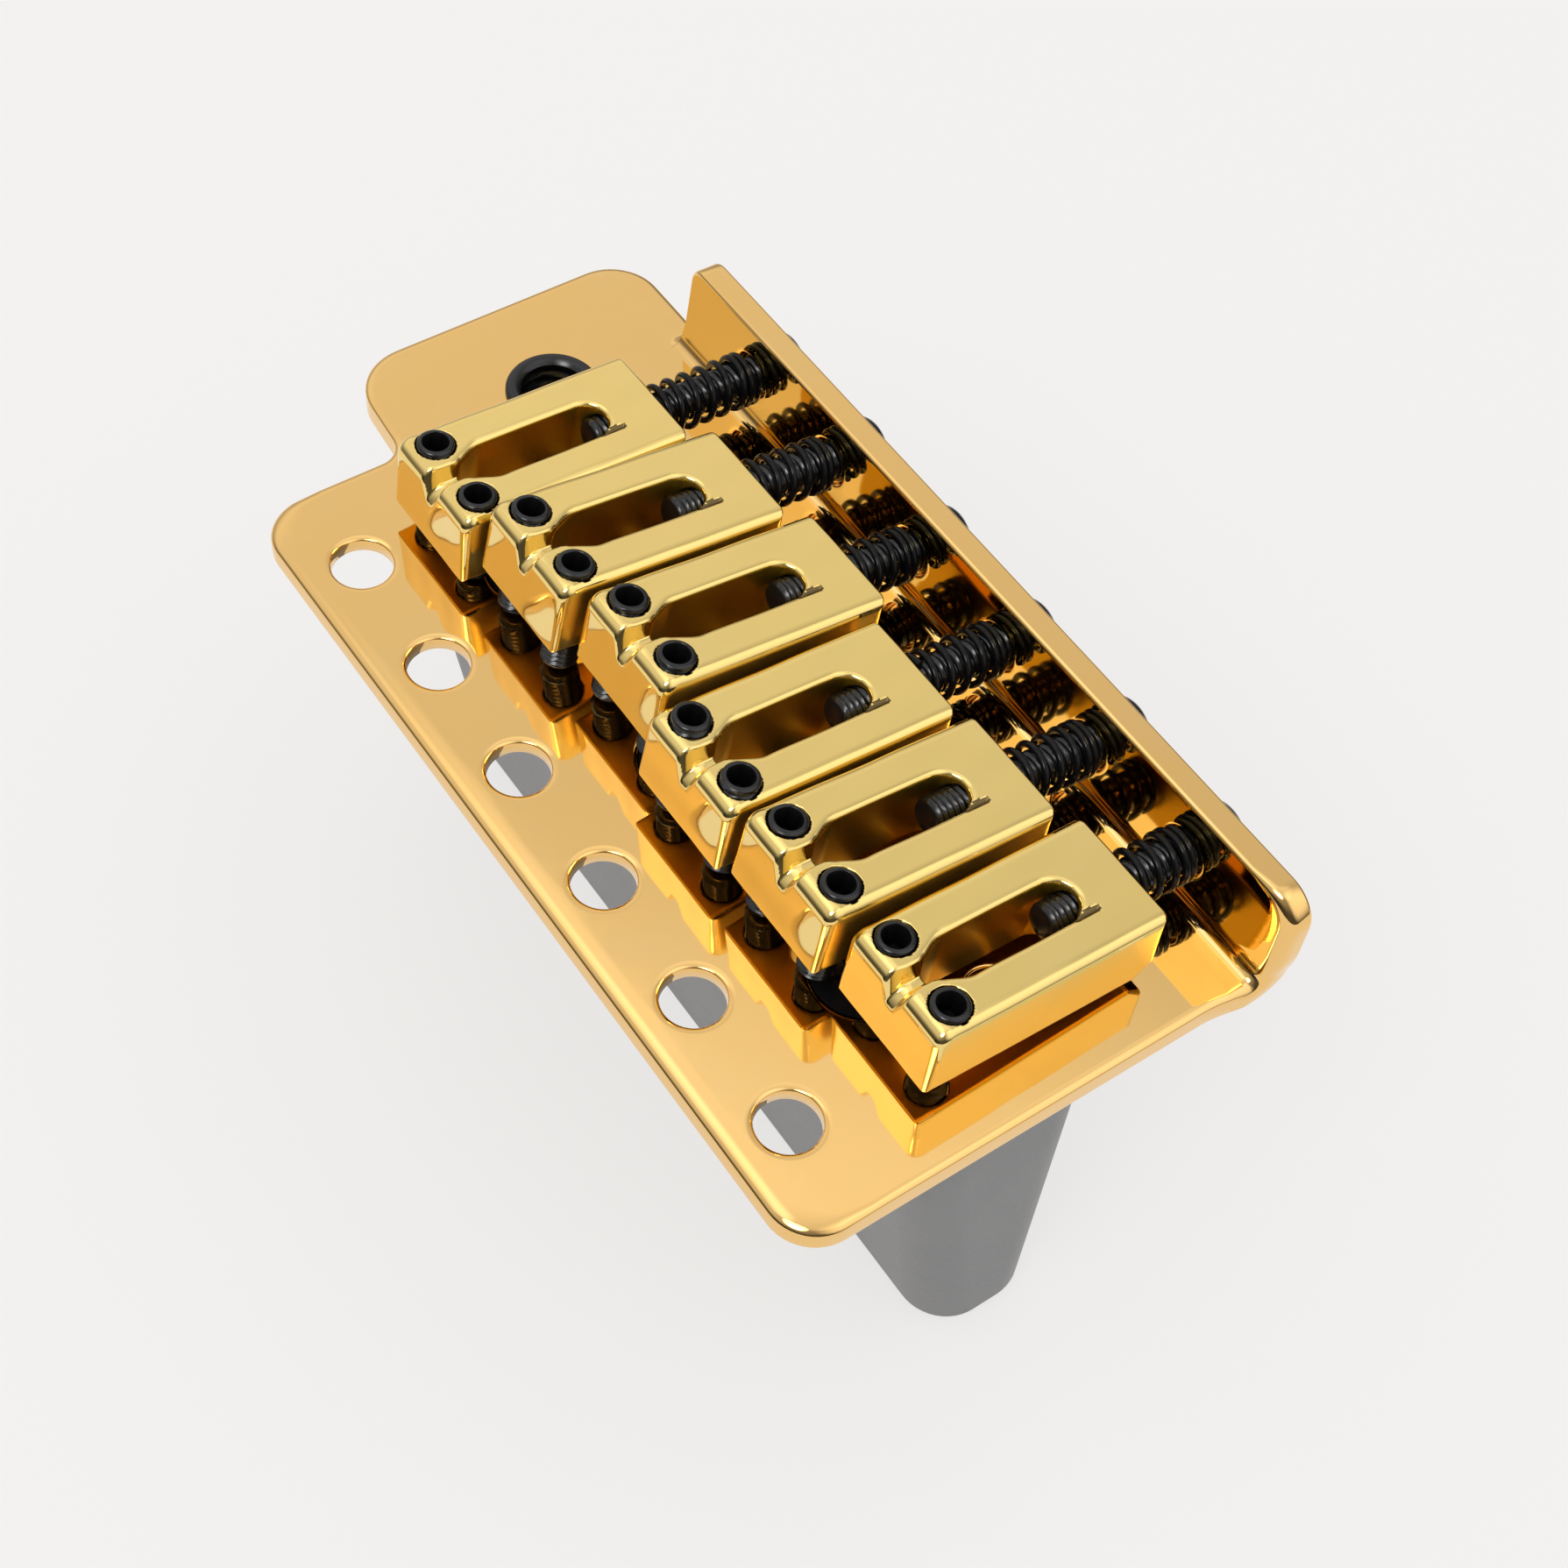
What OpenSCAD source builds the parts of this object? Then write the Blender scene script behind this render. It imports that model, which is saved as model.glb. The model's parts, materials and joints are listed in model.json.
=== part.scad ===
// Six-saddle tremolo bridge, millimetres.
// Origin: middle of the mounting-hole row, on the plate's top face.
// +X runs to the bass side, +Y to the rear lip, +Z up.

/* [Base plate] */
// Thickness of the plate and of its bent-up lip
plate_t = 2.2; // [1.8:0.1:2.6]
// Half of the plate's width along the mounting holes
plate_half_w = 36.25; // [35:0.25:40]
// Front edge ahead of the mounting-hole row
plate_front = 4.75; // [4:0.25:8]
// Radius of the two front corners
plate_corner_r = 3.7; // [1:0.1:4.5]
// Width of the bevel along the front edge
bevel_w = 1.8; // [0.5:0.1:2.2]
// Depth of the bevel along the front edge
bevel_h = 0.7; // [0.2:0.1:1.4]
// Distance between neighbouring mounting holes
mount_pitch = 11.2; // [10.4:0.1:11.5]
// Diameter of the mounting holes
mount_hole_d = 4.7; // [3.5:0.1:5.5]

/* [Arm wing] */
// How far the wing stands out past the plate's treble side
wing_reach = 10.15; // [9:0.05:13]
// Front edge of the wing behind the mounting-hole row
wing_front = 9.0; // [7:0.5:12]
// Radius of the wing's front corner
wing_front_r = 4.8; // [1:0.2:6]
// Radius of the wing's rear corner
wing_rear_r = 4.2; // [1:0.2:6]
// Arm hole past the plate's treble side
arm_out = -0.15; // [-0.6:0.05:2]
// Arm hole, behind the mounting-hole row
arm_y = 21.8; // [19:0.2:23]
// Bore of the arm bush, ready for an M6 thread
arm_bore_d = 5; // [4:0.1:5.4]
// Outside of the arm bush below its flange
arm_bush_d = 7; // [6.6:0.1:7.2]
// Outside of the flange that rests on the plate
arm_flange_d = 7.6; // [7.5:0.1:9]
// Thickness of the flange
arm_flange_t = 0.6; // [0.4:0.1:1.2]
// Length of the arm bush below the plate's top face
arm_bush_len = 16; // [10:1:20]

/* [Rear lip] */
// Inner face of the lip behind the mounting-hole row
lip_inner_y = 33.5; // [32.5:0.25:36]
// Height of the lip over the plate
lip_h = 9.1; // [8.4:0.1:12]
// Outer radius of the bend
bend_r = 3.2; // [2.6:0.1:3.6]
// How far the lip's treble end stands inside the plate's side
lip_in = 0.9; // [0:0.1:2]
// How far the treble end of the lip slants in at the top
lip_slant = 0.8; // [0:0.1:2]
// Radius of the lip's treble top corner
lip_end_r = 1.6; // [0.5:0.1:2.5]
// How far the bass end of the lip bulges out
lip_bulge = 1.1; // [0:0.1:2]
// Height of the intonation screws over the plate, at the lip
lip_hole_z = 4.4; // [4.2:0.1:5]
// Diameter of the holes in the lip
lip_hole_d = 3.8; // [3.7:0.1:4.2]

/* [Saddles] */
// Distance between neighbouring saddles
saddle_pitch = 10.6; // [10.4:0.05:11.2]
// Middle of the saddle row, towards the bass side
saddle_shift = 0.5; // [-1:0.1:1]
// Width of a saddle
saddle_w = 10.1; // [9.8:0.05:10.2]
// Length of a saddle
saddle_len = 19.6; // [19.2:0.2:21]
// Height of a saddle's top over its screw axis
saddle_up = 2.2; // [2:0.1:2.6]
// Depth of a saddle's underside below its screw axis
saddle_down = 4.2; // [3:0.1:4.3]
// Middle of the lip to each saddle's rear face, treble to bass
setback = [10.3, 9.0, 7.5, 9.1, 8.5, 7.0];
// Upward tilt of each saddle's front in degrees, treble to bass
tilt = [3.1, 7.5, 7.8, 5.5, 6.7, 3.8];
// Radius along a saddle's front top edge
nose_r = 1.2; // [0.4:0.1:1.8]
// Radius of a saddle's upright front corners
nose_side_r = 0.6; // [0.2:0.1:0.9]
// Chamfer along a saddle's rear bottom edge
heel = 1.5; // [0.5:0.1:2]
// Width of the string slot
slot_w = 3.5; // [2.5:0.1:3.7]
// Rear end of the slot, ahead of the rear face
slot_rear = 4.4; // [4:0.1:6]
// Where the slot starts to narrow, ahead of the rear face
slot_front = 14.8; // [11:0.1:14.9]
// Width of the neck between the height screws
neck_w = 1.9; // [1:0.1:2.2]
// Depth of the neck and of the string notch
notch_depth = 1.6; // [0.8:0.1:2]
// Width of the string notch at the front edge
notch_w = 2.6; // [2:0.1:3]

/* [Screws] */
// Thread size of the intonation and height screws
screw_d = 3; // [2.5:0.1:3.1]
// Length of each intonation screw under its head, treble to bass
intonation_len = [17.4, 17.4, 15.3, 17.4, 17.4, 15.3];
// Diameter of the intonation screw's head
head_d = 5.2; // [5:0.1:5.8]
// Thickness of the intonation screw's head
head_t = 1.6; // [1.5:0.1:2.6]
// Height screws to either side of the saddle's middle
height_x = 3; // [2.8:0.05:3.1]
// Height screws behind the saddle's front face
height_in = 2.3; // [2:0.1:2.6]
// Length of each saddle's height screws, treble to bass
height_len = [8, 10, 10, 9.35, 9.42, 8];
// Hex socket of the height screws, across its flats
hex_af = 1.5; // [1.2:0.1:1.6]
// Height of the screws' feet over the plate at rest
foot_gap = 0.3; // [0.25:0.05:0.6]

/* [Springs] */
// Outside diameter of the springs
spring_d = 4.4; // [4.2:0.1:5.2]
// Wire of the springs
wire_d = 0.55; // [0.4:0.05:0.7]
// Closest that two turns may be, from wire middle to wire middle
turn_pitch = 1.2; // [1.02:0.01:1.6]

/* [Block] */
// Bass end of the block inside the plate's side
bass_inset = 2.25; // [1:0.25:4]
// Treble end of the block inside the plate's side
treble_inset = 0.25; // [0:0.25:2]
// Front face at the top, behind the mounting-hole row
block_front = 6.5; // [5:0.5:7]
// Rear face of the block
block_rear = 23.5; // [23:0.5:26]
// How far the front face slants back at the bottom
block_taper = 6.7; // [0:0.1:7.5]
// Bottom of the block below the plate's top face
block_depth = 38; // [30:1:45]
// Radius of the block's upright edges
block_r = 4; // [1:0.2:4.6]
// Outer radius of the round boss that holds the arm bush
boss_r = 6; // [5:0.2:7]
// String passages, behind the mounting-hole row
string_y = 17.5; // [17:0.25:18.5]
// Diameter of a string passage at the top
string_d = 3.2; // [2:0.1:3.4]
// Diameter of the bore for a string's ball end
ball_d = 5.2; // [4.5:0.1:5.4]
// Depth of the ball-end bores from below
ball_depth = 22; // [10:1:28]
// Diameter of the holes for the tremolo springs' hooks
hook_d = 2.8; // [2:0.1:3]
// Depth of the hook holes
hook_depth = 8; // [5:1:12]
// Plate screws, behind the mounting-hole row
plate_screw_y = 10.9; // [10.6:0.1:11.2]
// Distance between neighbouring plate screws
plate_screw_pitch = 21.2; // [20:0.2:23]
// Thread size of the plate screws
plate_screw_d = 4; // [3:0.5:4]
// Length of the plate screws
plate_screw_len = 12; // [8:1:14]

/* [Fits] */
// Gap round a screw in its thread
thread_gap = 0.05; // [0.02:0.01:0.09]
// Gap between pieces that are seated on each other
seat_gap = 0.05; // [0.04:0.01:0.1]
// Extra tilt that the height adjustment can add
swing_up = 3; // [1:0.5:4]

/* [Hidden] */
$fn = 48;
over = 1;
saddle_nos = [0 : 5];
lip_outer_y = lip_inner_y + plate_t;
pivot_y = lip_inner_y + plate_t / 2;
wing_edge = plate_half_w + wing_reach;
wing_rear = lip_outer_y - 0.2;
arm_x = plate_half_w + arm_out;
block_bass = plate_half_w - bass_inset;
block_treble = plate_half_w - treble_inset;
bend_y = lip_outer_y - bend_r;
bend_foot = bend_r - plate_t;
lip_end = plate_half_w - lip_in;
screw_r = screw_d / 2;
thread_r = screw_r + thread_gap;
head_r = head_d / 2;
cross_w = head_d * 0.13;
coil_r = (spring_d - wire_d) / 2;
rings = 8;
sides = 6;
foot_r = screw_r - 0.35;
arm_hole_r = arm_bush_d / 2 + seat_gap;
csk_r = plate_screw_d * 0.95;
plate_screw_r = plate_screw_d / 2;
height_at = saddle_len - height_in;
saddle_cut = saddle_down + saddle_up + 2 * over;

function saddle_x(i) = saddle_shift + (i - 2.5) * saddle_pitch;
// Least distance from the middle of the lip at which a disc of radius r clears it at full tilt
function off_lip(r, i) = (plate_t / 2 + seat_gap + r * sin(tilt[i] + swing_up)) / cos(tilt[i] + swing_up);
// Arc of a rounded corner b between the points a and c
function corner(a, b, c, r) =
    let (p = [b[0], b[1]],
        u = ([a[0], a[1]] - p) / norm([a[0], a[1]] - p),
        v = ([c[0], c[1]] - p) / norm([c[0], c[1]] - p),
        half = acos(u * v) / 2,
        middle = p + (u + v) / norm(u + v) * r / sin(half),
        side = sign(u[1] * v[0] - u[0] * v[1]),
        steps = 8)
    [for (k = [0 : steps])
        let (turn = side * (90 - half) * (2 * k / steps - 1),
            out = -(u + v) / norm(u + v))
        middle + r * [out[0] * cos(turn) - out[1] * sin(turn), out[0] * sin(turn) + out[1] * cos(turn)]];
// Outline whose points [x, y, r] are rounded to their radius
function rounded(pts) = [for (k = [0 : len(pts) - 1])
    let (b = pts[k], n = len(pts))
    for (q = b[2] > 0 ? corner(pts[(k + n - 1) % n], b, pts[(k + 1) % n], b[2]) : [[b[0], b[1]]]) q];

// Places its children on an intonation screw: origin in the middle of the lip, front towards -Y
module on_screw(i)
    translate([saddle_x(i), pivot_y, lip_hole_z])
        rotate([-tilt[i], 0, 0])
            children();

// Extrudes a side profile, drawn as (y, z), across the width w
module across(w)
    rotate([90, 0, 90])
        translate([0, 0, -w / 2])
            linear_extrude(w) children();

module base_plate() {
    outline = rounded([
        [-plate_half_w, -plate_front, plate_corner_r],
        [plate_half_w, -plate_front, plate_corner_r],
        [plate_half_w, bend_y, 0],
        [-lip_end, bend_y, 0],
        [-lip_end, wing_rear, 0],
        [-wing_edge, wing_rear, wing_rear_r],
        [-wing_edge, wing_front, wing_front_r],
        [-plate_half_w, wing_front - 0.8, 2]]);
    color("goldenrod") difference() {
        union() {
            translate([0, 0, -plate_t]) linear_extrude(plate_t) polygon(outline);
            bend();
            lip();
        }
        for (k = [0 : 5]) translate([(k - 2.5) * mount_pitch, 0, -plate_t - over])
            cylinder(d = mount_hole_d, h = plate_t + 2 * over);
        for (i = saddle_nos) {
            translate([saddle_x(i), string_y, -plate_t - over])
                cylinder(d = string_d + 0.3, h = plate_t + 2 * over);
            translate([saddle_x(i), lip_inner_y - over, lip_hole_z])
                rotate([-90, 0, 0]) cylinder(d = lip_hole_d, h = plate_t + 2 * over);
        }
        translate([-arm_x, arm_y, -plate_t - over]) cylinder(r = arm_hole_r, h = plate_t + 2 * over);
        for (k = [-1 : 1]) translate([k * plate_screw_pitch, plate_screw_y, 0]) plate_screw_hole();
        front_bevel();
    }
}

// Quarter bend between the plate and the lip
module bend() {
    translate([lip_in / 2, 0, 0]) across(plate_half_w + lip_end) intersection() {
        translate([bend_y, bend_foot]) difference() {
            circle(r = bend_r);
            circle(r = bend_foot);
        }
        translate([bend_y, -plate_t]) square(bend_r);
    }
}

// Upturned lip with its rounded treble end and its rounded, bulging bass end
module lip() {
    face = rounded([
        [-lip_end, bend_foot, 0],
        [plate_half_w, bend_foot, 0],
        [plate_half_w + lip_bulge, lip_h * 0.4, 3],
        [plate_half_w + lip_bulge, lip_h, 2.6],
        [lip_slant - lip_end, lip_h, lip_end_r]]);
    translate([0, lip_outer_y, 0]) rotate([90, 0, 0]) linear_extrude(plate_t) polygon(face);
}

module front_bevel() {
    rise = over * bevel_h / bevel_w;
    across(2 * plate_half_w + 2 * over) polygon([
        [-plate_front - over, -bevel_h - rise],
        [bevel_w - plate_front + over, rise],
        [-plate_front - over, rise + over]]);
}

module plate_screw_hole() {
    translate([0, 0, -plate_t - over]) cylinder(r = plate_screw_r + seat_gap, h = plate_t + 2 * over);
    translate([0, 0, -csk_r]) cylinder(r1 = seat_gap, r2 = csk_r + seat_gap, h = csk_r);
}

module tremolo_block() {
    top = -plate_t;
    color("slategray") difference() {
        union() {
            hull() for (x = [block_r - block_treble, block_bass - block_r])
                for (p = [[block_front, top], [block_front + block_taper, -block_depth]]) {
                    translate([x, p[0] + block_r, p[1] < top ? p[1] : top - over])
                        cylinder(r = block_r, h = over, $fn = 32);
                    translate([x, block_rear - block_r, p[1] < top ? p[1] : top - over])
                        cylinder(r = block_r, h = over, $fn = 32);
                }
            translate([-arm_x, arm_y, -arm_bush_len - 2])
                cylinder(r = boss_r, h = arm_bush_len + 2 - plate_t);
        }
        for (i = saddle_nos) translate([saddle_x(i), string_y, -block_depth - over]) {
            cylinder(d = string_d, h = block_depth);
            cylinder(d = ball_d, h = ball_depth + over);
        }
        for (i = [0 : 4])
            translate([saddle_x(i) + saddle_pitch / 2, string_y, -block_depth - over])
                cylinder(d = hook_d, h = hook_depth + over);
        translate([-arm_x, arm_y, -arm_bush_len - seat_gap]) cylinder(r = arm_hole_r, h = arm_bush_len);
        for (k = [-1 : 1]) translate([k * plate_screw_pitch, plate_screw_y, -plate_screw_len - over])
            cylinder(r = plate_screw_r + seat_gap, h = plate_screw_len);
    }
}

module arm_bush() {
    r = arm_flange_d / 2;
    color("dimgray") translate([-arm_x, arm_y, 0]) difference() {
        rotate_extrude() polygon([
            [0, -arm_bush_len], [arm_bush_d / 2, -arm_bush_len], [arm_bush_d / 2, 0],
            [r, 0], [r, arm_flange_t * 0.4], [r - arm_flange_t * 0.6, arm_flange_t], [0, arm_flange_t]]);
        translate([0, 0, -arm_bush_len - over])
            cylinder(d = arm_bore_d, h = arm_bush_len + arm_flange_t + 2 * over);
    }
}

// Three countersunk screws from the plate into the block, flush with the plate
module plate_screws() {
    top = -2 * seat_gap;
    slot = csk_r * 0.18;
    color("dimgray") for (k = [-1 : 1]) translate([k * plate_screw_pitch, plate_screw_y, 0]) difference() {
        rotate_extrude() polygon([
            [0, top], [csk_r + top, top], [plate_screw_r, plate_screw_r - csk_r],
            [plate_screw_r, -plate_screw_len], [0, -plate_screw_len]]);
        for (a = [0, 90]) rotate([0, 0, a])
            translate([-csk_r / 2, -slot, top - slot * 2]) cube([csk_r, 2 * slot, slot * 2 + over]);
    }
}

// Side of a saddle as (y, z): the nose is rounded on top and the heel is cut off below
module saddle_side(i) {
    rear = -setback[i];
    front = rear - saddle_len;
    polygon(rounded([
        [front, -saddle_down, 0],
        [front, saddle_up, nose_r],
        [rear, saddle_up, 0.3],
        [rear, heel - saddle_down, 0],
        [rear - heel, -saddle_down, 0]]));
}

// String slot seen from above, narrowing to the neck between the height screws
module slot_plan(i) {
    rear = -setback[i];
    end = rear - slot_rear - slot_w / 2;
    translate([0, end]) circle(d = slot_w);
    polygon([
        [-slot_w / 2, end], [slot_w / 2, end],
        [slot_w / 2, rear - slot_front], [neck_w / 2, rear - slot_front - slot_w / 2],
        [-neck_w / 2, rear - slot_front - slot_w / 2], [-slot_w / 2, rear - slot_front]]);
}

module saddle(i) {
    rear = -setback[i];
    front = rear - saddle_len;
    half = saddle_w / 2;
    color("gold") on_screw(i) difference() {
        intersection() {
            across(saddle_w) saddle_side(i);
            translate([0, 0, -saddle_down - over]) linear_extrude(saddle_cut) polygon(rounded([
                [-half, front, nose_side_r], [half, front, nose_side_r],
                [half, rear, 0.2], [-half, rear, 0.2]]));
        }
        translate([0, 0, -saddle_down - over]) linear_extrude(saddle_cut) slot_plan(i);
        translate([-neck_w / 2, front - over, saddle_up - notch_depth])
            cube([neck_w, saddle_len - slot_front - slot_w / 4 + over, notch_depth + over]);
        translate([0, front + nose_r, saddle_up]) rotate([90, 0, 0]) linear_extrude(nose_r + over) polygon([
            [-notch_w / 2, over / 10], [-notch_w / 2, 0], [0, -notch_depth * 1.3], [notch_w / 2, 0],
            [notch_w / 2, over / 10]]);
        translate([0, rear + over, 0]) rotate([90, 0, 0])
            cylinder(r = thread_r, h = slot_rear + slot_w / 2 + over);
        for (x = [-height_x, height_x]) translate([x, rear - height_at, -saddle_down - over])
            cylinder(r = thread_r, h = saddle_cut);
    }
}

// Pan-head screw through the lip into the saddle, with a cross recess
module intonation_screw(i) {
    seat = off_lip(head_r, i);
    tip = intonation_len[i] - seat;
    color("dimgray") on_screw(i) difference() {
        rotate([90, 0, 0]) rotate_extrude() polygon(concat(
            [[0, tip], [screw_r - 0.3, tip], [screw_r, tip - 0.3], [screw_r, -seat], [head_r, -seat]],
            [for (a = [0 : 10 : 90])
                [head_r * (0.55 + 0.45 * cos(a)), -seat - head_t * (0.35 + 0.65 * sin(a))]],
            [[0, -seat - head_t]]));
        for (a = [45, 135]) translate([0, seat + head_t, 0]) rotate([0, a, 0])
            cube([head_r * 1.1, head_t * 1.1, cross_w], center = true);
    }
}

// Points on the middle of a spring's wire: straight ends, round turns between them
function spring_path(i) =
    let (start = off_lip(spring_d / 2, i),
        stop = setback[i] - seat_gap,
        turns = floor((stop - start - 2 * wire_d) / turn_pitch),
        run = (stop - start - 2 * wire_d) / turns)
    concat(
        [[0, -start, coil_r]],
        [for (k = [0 : turns * rings])
            let (a = 360 * k / rings)
            [coil_r * sin(a), -start - wire_d - run * k / rings, coil_r * cos(a)]],
        [[0, -stop, coil_r]]);
// Direction of the wire at point k
function along(p, k) = let (d = p[min(k + 1, len(p) - 1)] - p[max(k - 1, 0)]) d / norm(d);
function wire_ring(p, k) =
    let (t = along(p, k),
        e = [p[k][0], 0, p[k][2]] / coil_r,
        u = (e - (e * t) * t) / norm(e - (e * t) * t),
        v = cross(t, u))
    [for (s = [0 : sides - 1]) p[k] + wire_d / 2 * (u * cos(360 * s / sides) + v * sin(360 * s / sides))];
// Least gap of a wire to itself, over points half a turn or more apart
function least_gap(p) = min([for (a = [0 : len(p) - 1]) for (b = [a + rings / 2 : 1 : len(p) - 1])
    norm(p[a] - p[b])]) - wire_d;

module intonation_spring(i) {
    path = spring_path(i);
    n = len(path);
    points = [for (k = [0 : n - 1]) each wire_ring(path, k)];
    skin = [for (k = [0 : n - 2]) for (s = [0 : sides - 1])
        let (a = k * sides + s, b = k * sides + (s + 1) % sides)
        each [[a, b, b + sides], [a, b + sides, a + sides]]];
    caps = [for (s = [1 : sides - 2])
        each [[0, s + 1, s], [(n - 1) * sides, (n - 1) * sides + s, (n - 1) * sides + s + 1]]];
    echo(str("intonation_spring_", i + 1, " least gap ", least_gap(path)));
    color("dimgray") on_screw(i) polyhedron(points, concat(skin, caps));
}

// Hex-socket grub screw: its foot stands over the plate by foot_gap
module height_screw(i, side) {
    t = tilt[i];
    reach = setback[i] + height_at;
    foot = (foot_gap - lip_hole_z - (reach - foot_r) * sin(t)) / cos(t);
    top = foot + height_len[i];
    edge = screw_r - foot_r;
    color("dimgray") on_screw(i) translate([side * height_x, -reach, 0]) difference() {
        rotate_extrude() polygon([
            [0, foot], [foot_r, foot], [screw_r, foot + edge],
            [screw_r, top - edge], [foot_r, top], [0, top]]);
        translate([0, 0, top - hex_af * 1.3])
            cylinder(d = hex_af / cos(30), h = hex_af * 1.3 + over, $fn = 6);
    }
}

base_plate();
tremolo_block();
arm_bush();
plate_screws();
for (i = saddle_nos) {
    saddle(i);
    intonation_screw(i);
    intonation_spring(i);
    height_screw(i, -1);
    height_screw(i, 1);
}
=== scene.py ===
import json
import math

import bmesh
import bpy
import numpy as np
from mathutils import Matrix, Vector


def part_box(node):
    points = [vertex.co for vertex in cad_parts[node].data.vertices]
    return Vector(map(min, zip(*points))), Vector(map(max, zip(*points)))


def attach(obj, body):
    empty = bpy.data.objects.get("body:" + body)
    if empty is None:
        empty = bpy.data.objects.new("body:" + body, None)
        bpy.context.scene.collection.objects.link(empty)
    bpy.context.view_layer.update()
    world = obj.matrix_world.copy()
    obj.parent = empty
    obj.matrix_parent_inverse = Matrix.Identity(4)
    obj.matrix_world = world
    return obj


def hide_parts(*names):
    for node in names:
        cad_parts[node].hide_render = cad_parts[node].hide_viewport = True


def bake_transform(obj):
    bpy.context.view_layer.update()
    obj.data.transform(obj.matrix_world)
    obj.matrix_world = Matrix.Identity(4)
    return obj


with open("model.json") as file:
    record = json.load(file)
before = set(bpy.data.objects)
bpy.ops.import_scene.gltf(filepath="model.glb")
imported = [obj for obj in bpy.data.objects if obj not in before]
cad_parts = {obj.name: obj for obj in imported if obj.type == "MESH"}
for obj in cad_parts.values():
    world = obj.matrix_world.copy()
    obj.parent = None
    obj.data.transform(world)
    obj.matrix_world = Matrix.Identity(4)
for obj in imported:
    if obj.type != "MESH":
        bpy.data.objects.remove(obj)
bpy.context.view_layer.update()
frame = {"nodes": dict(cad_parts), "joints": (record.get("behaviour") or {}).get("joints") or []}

mm = 0.001
jointOf = {joint["name"]: joint for joint in frame["joints"]}
saddleNumbers = range(1, 7)


# Where a saddle's screw passes the middle of the lip, in millimetres
def hingeAt(number):
    return [value / mm for value in jointOf[f"saddle_{number}_height"]["pos_m"]]


# Frame of a saddle's screw in millimetres: x across, y to the rear, z up, origin in the middle of the lip
def screwFrame(number):
    pivot = Vector(jointOf[f"saddle_{number}_height"]["pos_m"])
    ahead = Vector(jointOf[f"saddle_{number}_travel"]["axis"])
    across = Vector((1, 0, 0))
    up = across.cross(-ahead)
    turn = Matrix((across, -ahead, up)).transposed().to_4x4()
    return Matrix.Translation(pivot) @ turn @ Matrix.Scale(mm, 4)


# Lowest and highest corner of a node, seen in a saddle's screw frame
def localBox(node, number):
    back = screwFrame(number).inverted()
    points = np.array([back @ v.co for v in frame["nodes"][node].data.vertices])
    return points.min(0), points.max(0)


def smoothStep(value):
    value = np.clip(value, 0, 1)
    return value * value * (3 - 2 * value)


# Evenly spaced angles over a quarter turn, for rounded edges
def quarterTurn(steps):
    return [math.pi / 2 * k / steps for k in range(steps + 1)]


def addObject(name, data):
    holder = bpy.data.objects.new(name, data)
    bpy.context.scene.collection.objects.link(holder)
    return holder


# Turns points and faces into a mesh object, with the place in the mesh
def meshPiece(name, points, faces, place, material, normals=None):
    mesh = bpy.data.meshes.new(name)
    mesh.from_pydata(np.asarray(points, float).tolist(), [], [list(face) for face in faces])
    mesh.transform(place)
    mesh.shade_smooth()
    mesh.update()
    mesh.validate()
    piece = addObject(name, mesh)
    mesh.materials.append(material)
    if normals is not None:
        turned = np.asarray(normals) @ np.array(place.to_3x3().normalized().transposed())
        mesh.normals_split_custom_set_from_vertices(turned.tolist())
    return piece


# Applies what modifiers a piece has and leaves a plain mesh
def settled(piece):
    bpy.context.view_layer.update()
    evaluated = piece.evaluated_get(bpy.context.evaluated_depsgraph_get())
    mesh = bpy.data.meshes.new_from_object(evaluated)
    piece.modifiers.clear()
    old = piece.data
    piece.data = mesh
    mesh.name = piece.name
    if old.users == 0:
        bpy.data.meshes.remove(old)
    return piece


# Flat faces keep one shade right up to their rounded edges
def evenShade(piece, sharpDegrees=None, weight=80):
    if sharpDegrees:
        piece.data.set_sharp_from_angle(angle=math.radians(sharpDegrees))
    modifier = piece.modifiers.new("evenShade", "WEIGHTED_NORMAL")
    modifier.weight = weight
    modifier.keep_sharp = bool(sharpDegrees)
    return settled(piece)


# Where two surfaces of a distance field meet, with a fillet of that radius
def meetRound(a, b, radius):
    inside = np.minimum(np.maximum(a, b), -radius)
    return inside + np.hypot(np.maximum(a + radius, 0), np.maximum(b + radius, 0))


# Cells beyond the box on either side, and how the corners are moved
skinSpec = {"margins": (1.5, 2.5), "moves": 6, "leastSlope": 0.2, "slopeReach": 0.02}


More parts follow.
